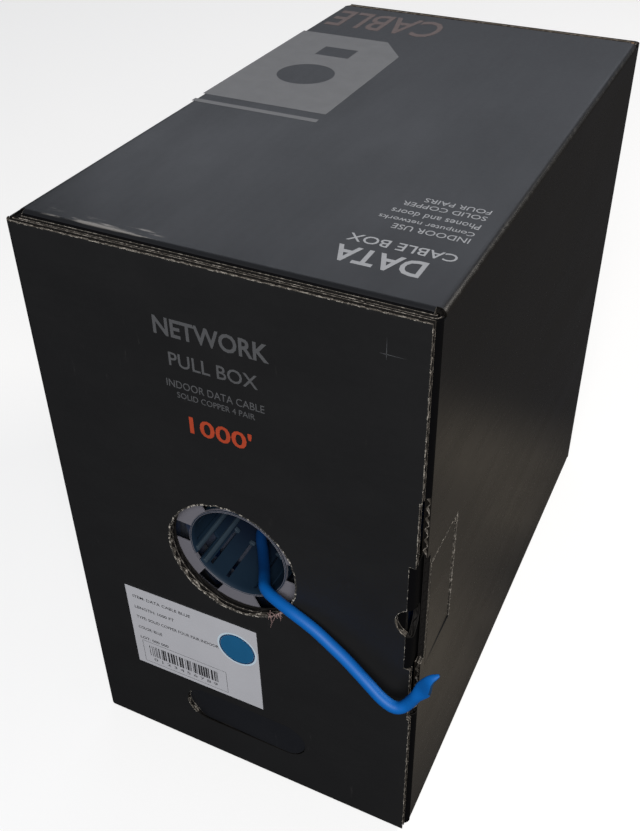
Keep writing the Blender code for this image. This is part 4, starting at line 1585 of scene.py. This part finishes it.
@dataclass
class Label:
    """A paper label on the door with generic lines, a dot in the cable's colour and a bar code."""

    at: Places
    width: float = 83.5 * MM
    height: float = 65 * MM
    centre: tuple[float, float] = (-29 * MM, 93.4 * MM)
    tilt_deg: float = 0.7
    lift: float = 0.05 * MM
    thickness: float = 0.16 * MM

    def curl(self, flat: Array) -> Array:
        """How far the paper stands off: its edges lift with the sixth power of their reach."""
        reach = np.abs(2 * flat[:, 0] / self.width) ** 6 + np.abs(2 * flat[:, 1] / self.height) ** 6
        return 0.1 * MM * np.clip(reach, 0.0, 2.0) / 2 + 0.02 * MM * (1 + np.sin(flat[:, 0] * 170.0))

    def place(self, flat: Array, raised: float) -> Array:
        """Flat label points turned by the tilt and put on the door."""
        angle = math.radians(self.tilt_deg)
        x = self.centre[0] + flat[:, 0] * math.cos(angle) - flat[:, 1] * math.sin(angle)
        z = self.centre[1] + flat[:, 0] * math.sin(angle) + flat[:, 1] * math.cos(angle)
        y = self.at.door_outer - self.lift - self.curl(flat) - raised
        return np.stack([x, y, z], axis=1)

    def sheet(self) -> None:
        """The paper: a grid of its width and height with a small thickness."""
        across, up = (spread(-size / 2, size / 2, 2.2 * MM) for size in (self.width, self.height))
        u, v = np.meshgrid(across, up)
        flat = np.stack([u.ravel(), v.ravel()], axis=1)
        faces = grid_faces(*u.shape)
        n = len(flat)
        stock = MeshStock()
        stock.add(np.vstack([self.place(flat, self.thickness), self.place(flat, 0.0)]), faces)
        stock.more(faces[:, ::-1] + n, 0)
        halves = np.vstack([faces[:, [0, 1, 2]], faces[:, [0, 2, 3]]])
        rim = rim_edges(halves)
        stock.more(np.stack([rim[:, 0], rim[:, 0] + n, rim[:, 1] + n, rim[:, 1]], axis=1), 0)
        fitted(stock.build("label_paper_sheet", [Paper().make()]), "door", "label_paper", "shipping_label")

    def across(self, x_mm: float) -> float:
        """A place across the paper from its millimetres from the door's left edge."""
        return (x_mm - 72.5) * MM

    def up(self, z_mm: float) -> float:
        """A place up the paper from its height in millimetres."""
        return (z_mm - 93.4) * MM

    def ink(self) -> PrintSheet:
        """A sheet of print on the paper."""
        return PrintSheet(lambda flat, raised: self.place(flat, self.thickness + 0.015 * MM + raised), 0.02 * MM)

    def build(self) -> None:
        """Builds the paper and what is printed on it."""
        self.sheet()
        black = self.ink()
        start = self.across(35)
        for words, wide, z in (
            ("ITEM: DATA CABLE BLUE", 37.5, 118.6),
            ("LENGTH: 1000 FT", 26, 109.9),
            ("TYPE: SOLID COPPER FOUR PAIR INDOOR", 54, 101.6),
            ("COLOR: BLUE", 16, 92.9),
            ("LOT: 000 000", 19, 84.1),
        ):
            middle = self.up(z)
            black.text(TextLine(words, start, middle - 1.15 * MM, start + wide * MM, middle + 1.15 * MM, 0.01))
        low, high = self.up(69.6), self.up(78.6)
        rng = np.random.default_rng(21)
        widths = rng.choice([0.35, 0.35, 0.7, 1.05], 62) * MM
        edges = np.concatenate([[0.0], np.cumsum(widths)])
        edges = edges / edges[-1] * 47 * MM + self.across(40)
        for left, right in zip(edges[0:62:2], edges[1::2]):
            black.bar(left, low, right, high)
        black.text(TextLine("0 1 2 3 4 5 6 7 8 9", self.across(42), self.up(65.9), self.across(85), self.up(68.2)))
        x0, z0, x1, z1, t = self.across(35.8), self.up(63.4), self.across(91.8), self.up(81.6), 0.22 * MM
        black.bar(x0, z0, x1, z0 + t)
        black.bar(x0, z1 - t, x1, z1)
        black.bar(x0, z0 + t, x0 + t, z1 - t)
        black.bar(x1 - t, z0 + t, x1, z1 - t)
        black.put("label_print", Ink("ink_black", (0.03, 0.03, 0.033), 0.45, 0.3), "door", "label_paper")
        centre = (self.across(101), self.up(106))
        for name, outer, inner, ink in (
            ("label_dot_halo", 12.3, 11.2, Ink("ink_halo", (0.56, 0.68, 0.77), 0.4, 0.1)),
            ("label_dot_edge", 11.15, 10.4, Ink("ink_dot_edge", (0.008, 0.04, 0.11), 0.35, 0.2)),
            ("label_dot", 10.35, 0.0, Ink("ink_dot", (0.012, 0.107, 0.24), 0.35, 0.25)),
        ):
            sheet = self.ink()
            hole = (ring(centre, inner * MM, 64)[::-1],) if inner else ()
            sheet.loops(ring(centre, outer * MM, 64), *hole)
            sheet.put(name, ink, "door", "label_paper")


# ---------------------------------------------------------------- payout tube
def masked_shell(stock: MeshStock, near: Array, far: Array, keep: Array, slot: int = 0) -> None:
    """Adds a closed sheet between two grids, with the cells left out that keep says.

    The grids are (rows, columns, 3) and close round their columns. Each kept cell has a quad on both
    grids, and each edge between a kept cell and none has a quad across the thickness.
    """
    rows, columns = near.shape[:2]
    quads = grid_faces(rows, columns, round_columns=True).reshape(rows - 1, columns, 4)
    n = rows * columns
    first = stock.count
    stock.add(np.vstack([near.reshape(-1, 3), far.reshape(-1, 3)]), quads[keep], slot)
    walls = [quads[keep][:, ::-1] + n]
    padded = np.vstack([np.zeros((1, columns), bool), keep, np.zeros((1, columns), bool)])
    for corners, beside in (
        ((0, 1), padded[:-2]),
        ((2, 3), padded[2:]),
        ((1, 2), np.roll(keep, -1, axis=1)),
        ((3, 0), np.roll(keep, 1, axis=1)),
    ):
        edge = quads[keep & ~beside][:, corners]
        walls.append(np.stack([edge[:, 1], edge[:, 0], edge[:, 0] + n, edge[:, 1] + n], axis=1))
    joined = np.vstack(walls) + first
    stock.more(joined, slot)


@dataclass
class PayoutTube:
    """The moulded tube that guides the cable out: flange, windows, sprung fingers and key ribs."""

    at: Places
    inner: float = 26.5 * MM
    wall: float = 1.6 * MM
    lip: float = 0.8 * MM
    flange: float = 2.4 * MM
    window: float = 13 * MM
    window_high: float = 10.3 * MM
    first_deg: float = 176.0
    finger_deg: float = 12.0
    finger_slot: float = 1.8 * MM
    finger_start: float = 3.2 * MM
    finger_length: float = 26 * MM
    key_slot: float = 4.4 * MM
    key_length: float = 17 * MM
    key_degs: tuple[float, float] = (206.0, 26.0)
    highlight_bead: float = 0.15 * MM

    def around(self, radius: Array, angle: Array, y: Array) -> Array:
        """Points at a radius and angle about the tube's axis, y behind the flange's face."""
        radius, angle, y = np.broadcast_arrays(radius, angle, y)
        return np.stack(
            [
                self.at.tube_x + radius * np.cos(angle),
                self.at.flange_front + y,
                self.at.tube_z + radius * np.sin(angle),
            ],
            axis=-1,
        )

    def wall_mesh(self, stock: MeshStock) -> None:
        """The tube's wall, a grid of angle and depth with the finger slots and key slots left out."""
        fingers = np.radians(self.first_deg + 60.0 * np.arange(6))
        half = self.finger_slot / 2 / self.inner
        key_half = self.key_slot / 2 / self.inner
        aside = math.radians(self.finger_deg)
        slots = np.concatenate([fingers - aside, fingers + aside])
        keys = np.radians(self.key_degs)
        marks = np.concatenate([slots - half, slots + half, keys - key_half, keys + key_half]) % math.tau
        even = np.arange(0.0, math.tau, math.radians(3.0))
        away = np.abs((even[:, None] - marks[None, :] + math.pi) % math.tau - math.pi)
        angle = np.sort(np.concatenate([marks, even[away.min(axis=1) > math.radians(0.8)]]))
        end = self.at.tube_end - self.at.flange_front
        stop = self.finger_start + self.finger_length
        fixed = [-self.lip, 1.8 * MM, self.finger_start, stop, self.key_length]
        depth = np.sort(np.concatenate([fixed, spread(0.0, end, 6 * MM)]))
        gap = (np.roll(angle, -1) - angle) % math.tau
        middle = (angle + gap / 2) % math.tau
        at_depth = (depth[1:] + depth[:-1]) / 2

        def near_any(centres: Array, reach: float) -> Array:
            """Whether each middle angle is within a reach of any centre."""
            away = np.abs((middle[:, None] - centres[None, :] + math.pi) % math.tau - math.pi)
            return (away < reach).any(axis=1)

        in_finger = (at_depth > self.finger_start) & (at_depth < stop)
        cut = in_finger[:, None] & near_any(slots, half)[None, :]
        cut |= (at_depth < self.key_length)[:, None] & near_any(keys, key_half)[None, :]
        mouth = 0.7 * MM * np.clip(1.0 - (depth + self.lip) / (1.2 * MM), 0.0, 1.0)[:, None]
        near = self.around(self.inner + mouth, angle[None, :], depth[:, None])
        far = self.around(self.inner + self.wall, angle[None, :], depth[:, None])
        # The whole wall, lip included, takes the bore's painted dark blue.
        masked_shell(stock, near, far, ~cut, 1)
        # Painted highlight: two thin rings in the flange's lighter grey paint the lip's edge highlights.
        for radius in (self.inner + 0.75 * MM, self.inner + self.wall - 0.1 * MM):
            path = self.around(radius, np.linspace(0.0, math.tau, 145), -self.lip * np.ones(145))
            add_tube(stock, path, np.full(145, self.highlight_bead), 6, (0.0, 1.0, 0.0))

    def flange_mesh(self, stock: MeshStock) -> None:
        """The flange, a grid of radius and angle whose window edges run parallel to their middle."""
        outer = self.inner + self.wall
        low = outer + 0.15 * MM
        fixed = [outer - 0.2 * MM, low, low + self.window_high]
        radius = np.sort(np.concatenate([fixed, np.linspace(low + 1.5 * MM, self.at.flange_radius, 8)]))
        middle = np.radians(self.first_deg + 60.0 * np.arange(6))
        lean = np.arcsin(np.clip(self.window / 2 / radius, 0.0, 1.0))
        columns = []
        for i in range(6):
            start, stop = middle[i] - lean, middle[i] + lean
            after = middle[i] + math.radians(60.0) - lean
            columns += [start + (stop - start) * t for t in (0.0, 1 / 3, 2 / 3)]
            columns += [stop + (after - stop) * t for t in np.linspace(0.0, 1.0, 9)[:-1]]
        angle = np.stack(columns, axis=1)
        keep = np.ones((len(radius) - 1, angle.shape[1]), bool)
        at_radius = (radius[1:] + radius[:-1]) / 2
        in_window = (at_radius > low) & (at_radius < low + self.window_high)
        column = np.arange(angle.shape[1]) % 11
        keep[np.ix_(in_window, column < 3)] = False
        crown = np.clip((radius - (self.at.flange_radius - 1.2 * MM)) / (1.2 * MM), 0.0, 1.0)[:, None]
        crown = 0.35 * MM * crown
        thick = np.where(radius > low + self.window_high + 1 * MM, self.flange, 1.1 * MM)[:, None]
        near = self.around(radius[:, None], angle, crown)
        far = self.around(radius[:, None], angle, thick - crown * 0.6)
        masked_shell(stock, near, far, keep)

    def rib(self, stock: MeshStock, angle_deg: float, low: float, near: float, far: float, half: float) -> None:
        """A bar along the tube's inside, with eased edges.

        Args:
            stock: where its faces go.
            angle_deg: its angle about the tube's axis.
            low: its inner radius.
            near: the depth of its near end.
            far: the depth of its far end.
            half: half its width.
        """
        middle = math.radians(angle_deg)
        high = self.inner + self.wall - 0.5 * MM
        eased = low + 0.3 * MM
        profile = np.array([(high, -1.0), (eased, -1.0), (low, -0.6), (low, 0.6), (eased, 1.0), (high, 1.0)])
        depth = np.array([near, near + 0.25 * MM, far])
        squeeze = np.array([0.85, 1.0, 1.0])
        rows = []
        for y, share in zip(depth, squeeze):
            side = profile[:, 1] * half * share
            x = self.at.tube_x + profile[:, 0] * math.cos(middle) - side * math.sin(middle)
            z = self.at.tube_z + profile[:, 0] * math.sin(middle) + side * math.cos(middle)
            rows.append(np.stack([x, np.full(len(x), self.at.flange_front + y), z], axis=1))
        grid = np.stack(rows)
        first = stock.count
        stock.add(grid.reshape(-1, 3), grid_faces(*grid.shape[:2], round_columns=True), 2)
        count = len(profile)
        caps = np.array([[0, 1, 4, 5], [1, 2, 3, 4]])
        stock.more(np.vstack([caps[:, ::-1], caps + 2 * count]) + first, 2)

    def build(self) -> None:
        """Builds the tube as one moulding of closed shells that overlap where they join."""
        stock = MeshStock()
        self.wall_mesh(stock)
        self.flange_mesh(stock)
        end = self.at.tube_end - self.at.flange_front
        for key in self.key_degs:
            for side in (-9.5, 9.5):
                self.rib(stock, key + side, self.inner - 1.4 * MM, 0.4 * MM, end - 0.4 * MM, 1.3 * MM)
        stop = self.finger_start + self.finger_length
        for i in range(6):
            for side in (-self.finger_deg, self.finger_deg):
                turn = self.first_deg + 60.0 * i + side
                self.rib(stock, turn, self.inner - 0.9 * MM, stop - 0.2 * MM, stop + 1.8 * MM, 1.7 * MM)
        front = self.at.flange_front
        # Painted light: the bore and ribs are the flange's grey plastic painted a dark blue, for the shade in the bore
        # and the cable's blue reflected in it, and darker still deeper in.
        finishes = [
            Plastic("tube_grey", (0.155, 0.152, 0.175), 0.42, 900.0, 0.00002, 0.2, 0.4),
            Plastic(
                "tube_bore_painted_shade", (0.008, 0.02, 0.037), 0.5, 900.0, 0.00002, 0.2, 0.3,
                painted_shade=(0.003, 0.007, 0.018), shade_from=front + 9 * MM, shade_to=front + 42 * MM,
            ),
            Plastic(
                "tube_rib_painted_shade", (0.03, 0.048, 0.066), 0.45, 900.0, 0.00002, 0.2, 0.4,
                painted_shade=(0.008, 0.014, 0.026), shade_from=front + 12 * MM, shade_to=front + 60 * MM,
            ),
        ]
        piece = stock.build("payout_tube_moulding", [finish.make() for finish in finishes], 34.0)
        bevel = piece.modifiers.new("eased_edges", "BEVEL")
        bevel.width = 0.22 * MM
        bevel.segments = 2
        bevel.limit_method = "ANGLE"
        bevel.angle_limit = math.radians(50)
        fitted(piece, "root", "tube_plastic", "payout_tube")


# ---------------------------------------------------------------- cable
def smooth_route(points: Array, step: float) -> Array:
    """Points about a step apart on a Catmull-Rom curve through the route's points."""
    ends = np.vstack([2 * points[0] - points[1], points, 2 * points[-1] - points[-2]])
    parts = []
    for i in range(1, len(ends) - 2):
        before, start, stop, after = ends[i - 1 : i + 3]
        t = np.linspace(0.0, 1.0, max(2, round(float(np.linalg.norm(stop - start)) / step) + 1))[:-1, None]
        parts.append(
            0.5
            * (
                2 * start
                + (stop - before) * t
                + (2 * before - 5 * start + 4 * stop - after) * t**2
                + (3 * start - before - 3 * stop + after) * t**3
            )
        )
    return np.vstack([*parts, points[-1:]])


@dataclass
class CableRun:
    """The cable from the coil's core through the tube and out over the rim to its cut end."""

    at: Places
    diameter: float = 6.2 * MM
    step: float = 1.6 * MM
    sides: int = 28
    aside: tuple[float, float, float] = (0.178, -0.577, 0.797)
    pressed_length: float = 24 * MM
    pressed_half: float = 4.3 * MM
    pressed_thick: float = 1.2 * MM
    tip_shift: float = -0.8
    feed_mm: tuple[tuple[float, float, float], ...] = (
        (-3, 140.7, 96.7), (-4.5, 122.9, 110.3), (-5.8, 112.5, 123), (-6.8, 105, 138), (-7.3, 100.5, 147),
        (-7.6, 94, 152.8), (-7.6, 86, 154.3), (-7.6, 76, 153.4), (-7.6, 60, 153), (-6.9, 44, 152.7),
        (0.3, 32, 151.2), (6.5, 22, 152), (11, 14, 153.8), (13.3, 10, 155.1), (16, 6, 156.8), (20.3, 2.6, 158),
    )
    lead_mm: tuple[tuple[float, float, float], ...] = (
        (25.3, 0, 158.8), (30.8, -2.2, 159.2), (36.8, -4.2, 159), (44.5, -5.6, 157.2), (51.9, -6.6, 154.3),
        (60, -7.7, 149.8), (67.5, -8.6, 145.2), (75, -9.6, 139.8), (82.5, -11, 134.8), (89.3, -12.8, 131.4),
        (95.4, -13.3, 129.2), (99.6, -12.5, 129.7), (103.2, -11.1, 134), (108.3, -11.5, 145), (114.1, -13.5, 157.3),
        (118.2, -12.4, 159.6),
    )

    def route(self, points_mm: Sequence[tuple[float, float, float]]) -> Array:
        """Route points (x, distance behind the door's face, z) as places in metres."""
        return np.array(points_mm) * MM + np.array([0.0, self.at.door_outer, 0.0])

    def build(self) -> None:
        radius = self.diameter / 2
        door = self.at.door_outer
        # Painted shade: the jacket darkens along Y inside the tube, and the tip's cut side is a darker blue.
        jacket = Plastic(
            "jacket_blue", (0.001, 0.108, 0.41), 0.5, 700.0, 0.00001, 0.1, 0.3,
            painted_shade=(0.0005, 0.028, 0.115), shade_from=door + 2 * MM, shade_to=door + 20 * MM,
        ).make()
        shaded = Plastic("jacket_cut_painted_shade", (0.002, 0.035, 0.1), 0.7).make()
        feed, lead = self.route(self.feed_mm), self.route(self.lead_mm)
        whole = smooth_route(np.vstack([feed, lead]), self.step)
        split = int(np.argmin(np.linalg.norm(whole - lead[0], axis=1)))
        inner, outer = whole[: split + 1], whole[split:]
        stock = MeshStock()
        add_tube(stock, inner, np.full(len(inner), radius), self.sides, self.aside)
        piece = stock.build("cable_feed_run", [jacket], 50.0)
        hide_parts("cable_feed")
        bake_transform(piece)
        piece = self.lead(outer, radius).build("cable_lead_run", [jacket, shaded], 50.0)
        fitted(piece, "door", "cable_jacket", "cable_lead")

    def lead(self, path: Array, radius: float) -> MeshStock:
        """The free cable, round at first, then pressed flat and cut off on the slant at its tip.

        With t from 0 to 1 over the pressed length, each ring is c + shift * side + a cos * side +
        b sin * up: b falls from the radius to the pressed thickness, a widens and then falls to a
        point, and the shift puts that point off the middle.

        Args:
            path: (n, 3) centres.
            radius: the cable's radius.

        Returns:
            The stock of its skin, with its cut side in a second, darker material that paints shade on it.
        """
        stock = MeshStock()
        along = np.concatenate([[0.0], np.cumsum(np.linalg.norm(np.diff(path, axis=0), axis=1))])
        t = np.clip(1.0 - (along[-1] - along) / self.pressed_length, 0.0, 1.0)
        ease = np.clip(t / 0.42, 0.0, 1.0)
        ease = ease * ease * (3 - 2 * ease)
        wide = radius + (self.pressed_half - radius) * ease
        cut = np.clip((t - 0.35) / 0.65, 0.0, 1.0) ** 2
        a = wide * (1 - 0.82 * cut)
        b = radius + (self.pressed_thick - radius) * ease
        shift = (wide - a) * self.tip_shift
        ahead = np.gradient(path, axis=0)
        ahead /= np.linalg.norm(ahead, axis=1, keepdims=True)
        side = np.cross(ahead, np.asarray(self.aside))
        side /= np.linalg.norm(side, axis=1, keepdims=True)
        up = np.cross(side, ahead)
        angle = np.arange(self.sides) * (math.tau / self.sides)
        centres = path + shift[:, None] * side
        rings = centres[:, None] + (a[:, None] * np.cos(angle))[..., None] * side[:, None]
        rings = rings + (b[:, None] * np.sin(angle))[..., None] * up[:, None]
        middle = (angle + math.pi / self.sides + math.pi) % math.tau - math.pi
        slots = ((cut[:-1, None] > 0.02) & (np.abs(middle) < 0.62)[None, :]).astype(int).ravel()
        stock.add(rings.reshape(-1, 3), grid_faces(len(path), self.sides, round_columns=True), slots)
        around, last = np.arange(self.sides), (len(path) - 1) * self.sides
        stock.faces += [around[None, ::-1], last + around[None, :]]
        stock.slots += [np.zeros(1, int), np.ones(1, int)]
        return stock


@dataclass
class CableCoil:
    """The wound coil: strands that cross to and fro on its inner and outer faces over a dark body, strands and body
    painted dark for the shade inside the box.
    """

    at: Places
    core: float = 90 * MM
    strand: float = 3.1 * MM

    def winding(self, radius: float, turns: float, sweeps: float, count: int, flat: bool) -> Array:
        """A path round the X axis: x swings as a triangle wave while the angle goes round."""
        t = np.linspace(0.0, 1.0, count)
        swing = 2 * np.abs(2 * ((t * sweeps) % 1.0) - 1.0) - 1.0
        swing = np.sin(swing * math.pi / 2) * 0.985
        wobble = 0.6 * MM * np.sin(t * 97.0) + (0.0 if flat else 0.4 * MM * np.sin(t * 61.0))
        angle = math.tau * turns * t
        y = self.at.coil_y + (radius + wobble) * np.cos(angle)
        z = self.at.coil_z + (radius + wobble) * np.sin(angle)
        return np.stack([swing * (self.at.coil_half - self.strand), y, z], axis=1)

    def clear_of_tube(self, path: Array, reach: float) -> list[Array]:
        """The stretches of a path that stay outside the payout tube's hole."""
        away = np.hypot(path[:, 0] - self.at.tube_x, path[:, 2] - self.at.tube_z)
        keep = (away > reach) | (path[:, 1] > self.at.coil_y)
        breaks = np.flatnonzero(np.diff(keep.astype(int)) != 0) + 1
        starts = [0, *breaks.tolist()]
        return [part for part, start in zip(np.split(path, breaks), starts) if keep[start] and len(part) > 4]

    def build(self) -> None:
        """Builds the strands and the drilled body under them."""
        at = self.at
        # Painted shade: the coil's jacket is the cable's blue made far darker, as it lies in shadow.
        jacket = Plastic("coil_jacket_painted_shade", (0.0008, 0.011, 0.045), 0.55, 500.0, 0.00002, 0.2, 0.15).make()
        stock = MeshStock()
        hole = 30.6 * MM
        for path in (
            self.winding(self.core + self.strand * 1.1, 31.0, 11.5, 31 * 54, True),
            self.winding(self.core + self.strand * 2.6, 23.0, 8.5, 23 * 54, True),
            self.winding(at.coil_radius - self.strand * 1.2, 29.0, 9.5, 29 * 84, False),
            self.winding(at.coil_radius - self.strand * 2.8, 21.0, 6.5, 21 * 84, False),
        ):
            for part in self.clear_of_tube(path, hole + self.strand):
                add_tube(stock, part, np.full(len(part), self.strand), 8, (1.0, 0.0, 0.0))
        piece = stock.build("cable_coil_winding", [jacket], 50.0)
        fitted(piece, "root", "cable_jacket", "cable_coil")
        body = MeshStock()
        half = at.coil_half - 1.0 * MM
        inner, outer = self.core + self.strand * 2.4, at.coil_radius - self.strand * 2.6
        profile = np.array([(inner, -half), (inner, half), (outer, half), (outer, -half)])
        rows = 160
        angle = np.arange(rows) * (math.tau / rows)
        grid = np.stack(
            [
                np.broadcast_to(profile[None, :, 1], (rows, 4)),
                at.coil_y + profile[None, :, 0] * np.cos(angle)[:, None],
                at.coil_z + profile[None, :, 0] * np.sin(angle)[:, None],
            ],
            axis=-1,
        )
        body.add(grid.reshape(-1, 3), grid_faces(rows, 4, True, True))
        # Painted shade: the body under the strands is a near-black blue for the dark depth between them.
        solid = body.build("cable_coil_body", [Plastic("coil_body_painted_shade", (0.001, 0.007, 0.025), 0.7).make()])
        drill = MeshStock()
        before = at.coil_y - 1.4 * at.coil_radius
        path = np.array([(at.tube_x, before, at.tube_z), (at.tube_x, at.coil_y, at.tube_z)])
        add_tube(drill, path, np.full(2, hole), 64, (0.0, 0.0, 1.0))
        tool = drill.build("coil_drill", [])
        cut = solid.modifiers.new("tube_hole", "BOOLEAN")
        cut.object, cut.operation, cut.solver = tool, "DIFFERENCE", "EXACT"
        bpy.context.view_layer.update()
        settled = bpy.data.meshes.new_from_object(solid.evaluated_get(bpy.context.evaluated_depsgraph_get()))
        solid.modifiers.clear()
        solid.data = settled
        bpy.data.objects.remove(tool)
        fitted(solid, "root", "cable_jacket")


@dataclass
class TornFibres:
    """Paper fibres torn up where the cable rubs the hole's rim."""

    at: Places
    seed: int = 29
    rim: float = 36.3 * MM

    def build(self) -> None:
        """Builds short tapered strands that hang and curl out from the rim at its lower right."""
        rng = np.random.default_rng(self.seed)
        stock = MeshStock()
        t = np.linspace(0.0, 1.0, 9)
        for _ in range(26):
            angle = math.radians(rng.uniform(-58, -36))
            across, up = self.rim * math.cos(angle), self.rim * math.sin(angle)
            y = self.at.door_outer + rng.uniform(-0.1, 0.5) * MM
            root = np.array([self.at.tube_x + across, y, self.at.tube_z + up])
            long = rng.uniform(1.2, 4.6) * MM
            out = np.array([rng.normal(0.1, 0.5), -abs(rng.normal(0.35, 0.2)), rng.normal(-0.7, 0.45)])
            bend = rng.normal(0.0, 0.6, 3)
            path = root + long * (t[:, None] * out + (t**2)[:, None] * bend * 0.6)
            path[:, 1] = np.minimum(path[:, 1], self.at.door_outer - 0.15 * MM * t)
            add_tube(stock, path, (0.2 * MM - 0.15 * MM * t) * rng.uniform(0.7, 1.5), 5, (0.3, 1.0, 0.2))
        hang = np.linspace(0.0, 1.0, 24)
        thread = np.stack(
            [
                0.0222 + 1.6 * MM * np.sin(hang * 3.4) * hang,
                self.at.door_outer - 0.6 * MM - 1.2 * MM * np.sin(hang * 3.0),
                0.1496 - 11.5 * MM * hang,
            ],
            axis=1,
        )
        add_tube(stock, thread, 0.16 * MM - 0.08 * MM * hang, 5, (0.3, 1.0, 0.2))
        torn = Ink("torn_fibre", (0.3, 0.2, 0.19), 0.9, 0.4).make()
        fitted(stock.build("torn_rim_fibres", [torn]), "door", "printed_board")


# ---------------------------------------------------------------- studio
@dataclass(frozen=True)
class Lamp:
    """A soft rectangular lamp that looks at a point."""

    name: str
    place: tuple[float, float, float]
    target: tuple[float, float, float]
    size: tuple[float, float]
    power: float
    colour: Colour

    def build(self) -> None:
        """Adds the lamp."""
        data = bpy.data.lights.new(self.name, "AREA")
        data.shape = "RECTANGLE"
        data.size, data.size_y = self.size
        data.energy = self.power
        data.color = self.colour
        holder = bpy.data.objects.new(self.name, data)
        bpy.context.scene.collection.objects.link(holder)
        holder.location = self.place
        aim = Vector(self.target) - Vector(self.place)
        holder.rotation_euler = aim.to_track_quat("-Z", "Y").to_euler()


@dataclass
class Studio:
    """Camera, pale floor, background and lamps."""

    eye: tuple[float, float, float] = (0.2003, -0.47485, 0.5443)
    right: tuple[float, float, float] = (0.9045, 0.4265, -0.0039)
    ahead: tuple[float, float, float] = (-0.3468, 0.7300, -0.5889)
    lens: float = 43.25
    shift: tuple[float, float] = (-0.0217, -0.045)
    floor_seen: Colour = (0.42, 0.42, 0.42)
    floor_glow: Colour = (0.62, 0.62, 0.62)
    floor_dark: Colour = (0.035, 0.036, 0.04)
    floor_warm: Colour = (0.22, 0.195, 0.16)

    def camera(self) -> None:
        """Places the camera by its right and forward directions."""
        data = bpy.data.cameras.new("studio_camera")
        data.lens = self.lens
        data.sensor_width = 36.0
        data.shift_x, data.shift_y = self.shift
        data.clip_start = 0.01
        camera = bpy.data.objects.new("studio_camera", data)
        bpy.context.scene.collection.objects.link(camera)
        back = -Vector(self.ahead).normalized()
        side = Vector(self.right).normalized()
        up = back.cross(side).normalized()
        turn = Matrix((side, up, back)).transposed().to_4x4()
        camera.matrix_world = Matrix.Translation(self.eye) @ turn
        bpy.context.scene.camera = camera

    def floor(self) -> None:
        """A wide pale floor; all but the camera see it dark, with warm patches behind on the right."""
        bench = Bench("studio_floor")
        seen = bench.out(bench.node("ShaderNodeLightPath"), "Is Camera Ray")
        zone = bench.axis("X").ramp(0.06, 0.16) * (1.0 - bench.axis("X").ramp(0.34, 0.56))
        zone = zone * bench.axis("Y").ramp(-0.3, -0.05) * (1.0 - bench.axis("Y").ramp(0.13, 0.25))
        patch = bench.noise(4.2, 3.0, 0.55).ramp(0.3, 0.62) * 0.75 + 0.25
        lit = bench.mix(zone * patch, self.floor_dark, self.floor_warm)
        colour = bench.mix(seen, lit, self.floor_seen)
        glow = bench.mix(seen, (0.0, 0.0, 0.0), self.floor_glow)
        material = bench.finish(colour, 0.9, Specular_IOR_Level=0.1, Emission_Color=glow, Emission_Strength=1.0)
        stock = MeshStock()
        u, v = np.meshgrid(np.linspace(-6.0, 6.0, 9), np.linspace(-6.0, 6.0, 9))
        stock.add(np.stack([u.ravel(), v.ravel(), np.full(u.size, -0.0002)], axis=1), grid_faces(9, 9))
        floor = stock.build("studio_floor", [material])

    def sky(self) -> None:
        """White behind the object for the camera and a soft grey for everything else."""
        world = bpy.data.worlds.new("studio_sky")
        world.use_nodes = True
        bpy.context.scene.world = world
        nodes, links = world.node_tree.nodes, world.node_tree.links
        nodes.clear()
        path = nodes.new("ShaderNodeLightPath")
        soft, white = nodes.new("ShaderNodeBackground"), nodes.new("ShaderNodeBackground")
        soft.inputs["Color"].default_value = (0.84, 0.9, 1.0, 1.0)
        soft.inputs["Strength"].default_value = 0.12
        white.inputs["Color"].default_value = (1.0, 1.0, 1.0, 1.0)
        white.inputs["Strength"].default_value = 1.0
        mixed = nodes.new("ShaderNodeMixShader")
        output = nodes.new("ShaderNodeOutputWorld")
        links.new(path.outputs["Is Camera Ray"], mixed.inputs[0])
        links.new(soft.outputs[0], mixed.inputs[1])
        links.new(white.outputs[0], mixed.inputs[2])
        links.new(mixed.outputs[0], output.inputs[0])

    def lamps(self) -> None:
        """A key lamp at the front left, a cool one over the back, and a small warm fill."""
        for lamp in (
            Lamp("key_lamp", (0.75, -1.7, 1.5), (0.0, -0.1, 0.15), (1.2, 1.0), 52.0, (1.0, 0.99, 0.98)),
            Lamp("lid_lamp", (-0.55, 1.75, 1.5), (0.0, 0.0, 0.3), (2.2, 1.0), 6.1, (0.86, 0.9, 1.0)),
            Lamp("side_lamp", (1.6, 1.1, 1.3), (0.35, 0.3, 0.0), (0.9, 0.9), 26.0, (1.0, 0.93, 0.84)),
        ):
            lamp.build()

    def build(self) -> None:
        """Sets the studio up."""
        self.camera()
        self.floor()
        self.sky()
        self.lamps()
        bpy.context.scene.view_settings.view_transform = "Standard"


def dress_cad_nodes(frame: Mapping[str, object], dress: Dressing) -> None:
    """Gives the CAD pieces that stay their finishes."""
    finishes = {"glue_tab": dress.kraft, "coil_wrap": StretchFilm().make()}
    for name, material in finishes.items():
        node = frame["nodes"][name]
        for place in range(len(node.data.materials)):
            node.data.materials[place] = material
        if not node.data.materials:
            node.data.materials.append(material)
        LOG.info("%s dressed", name)


def main() -> None:
    """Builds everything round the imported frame, in order."""
    logging.basicConfig(level=logging.INFO, format="%(message)s")
    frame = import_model()
    at = Places.measured()
    Studio().build()
    CableRun(at).build()
    dress = Dressing.mixed(at)
    Sleeve(at, dress).build()
    EndFlaps(at, dress).build()
    FrontDoor(at, dress).build()
    LockFlap(at, dress).build()
    Graphics(at).build()
    Label(at).build()
    PayoutTube(at).build()
    CableCoil(at).build()
    TornFibres(at).build()
    dress_cad_nodes(frame, dress)


if __name__ == "__main__":
    main()
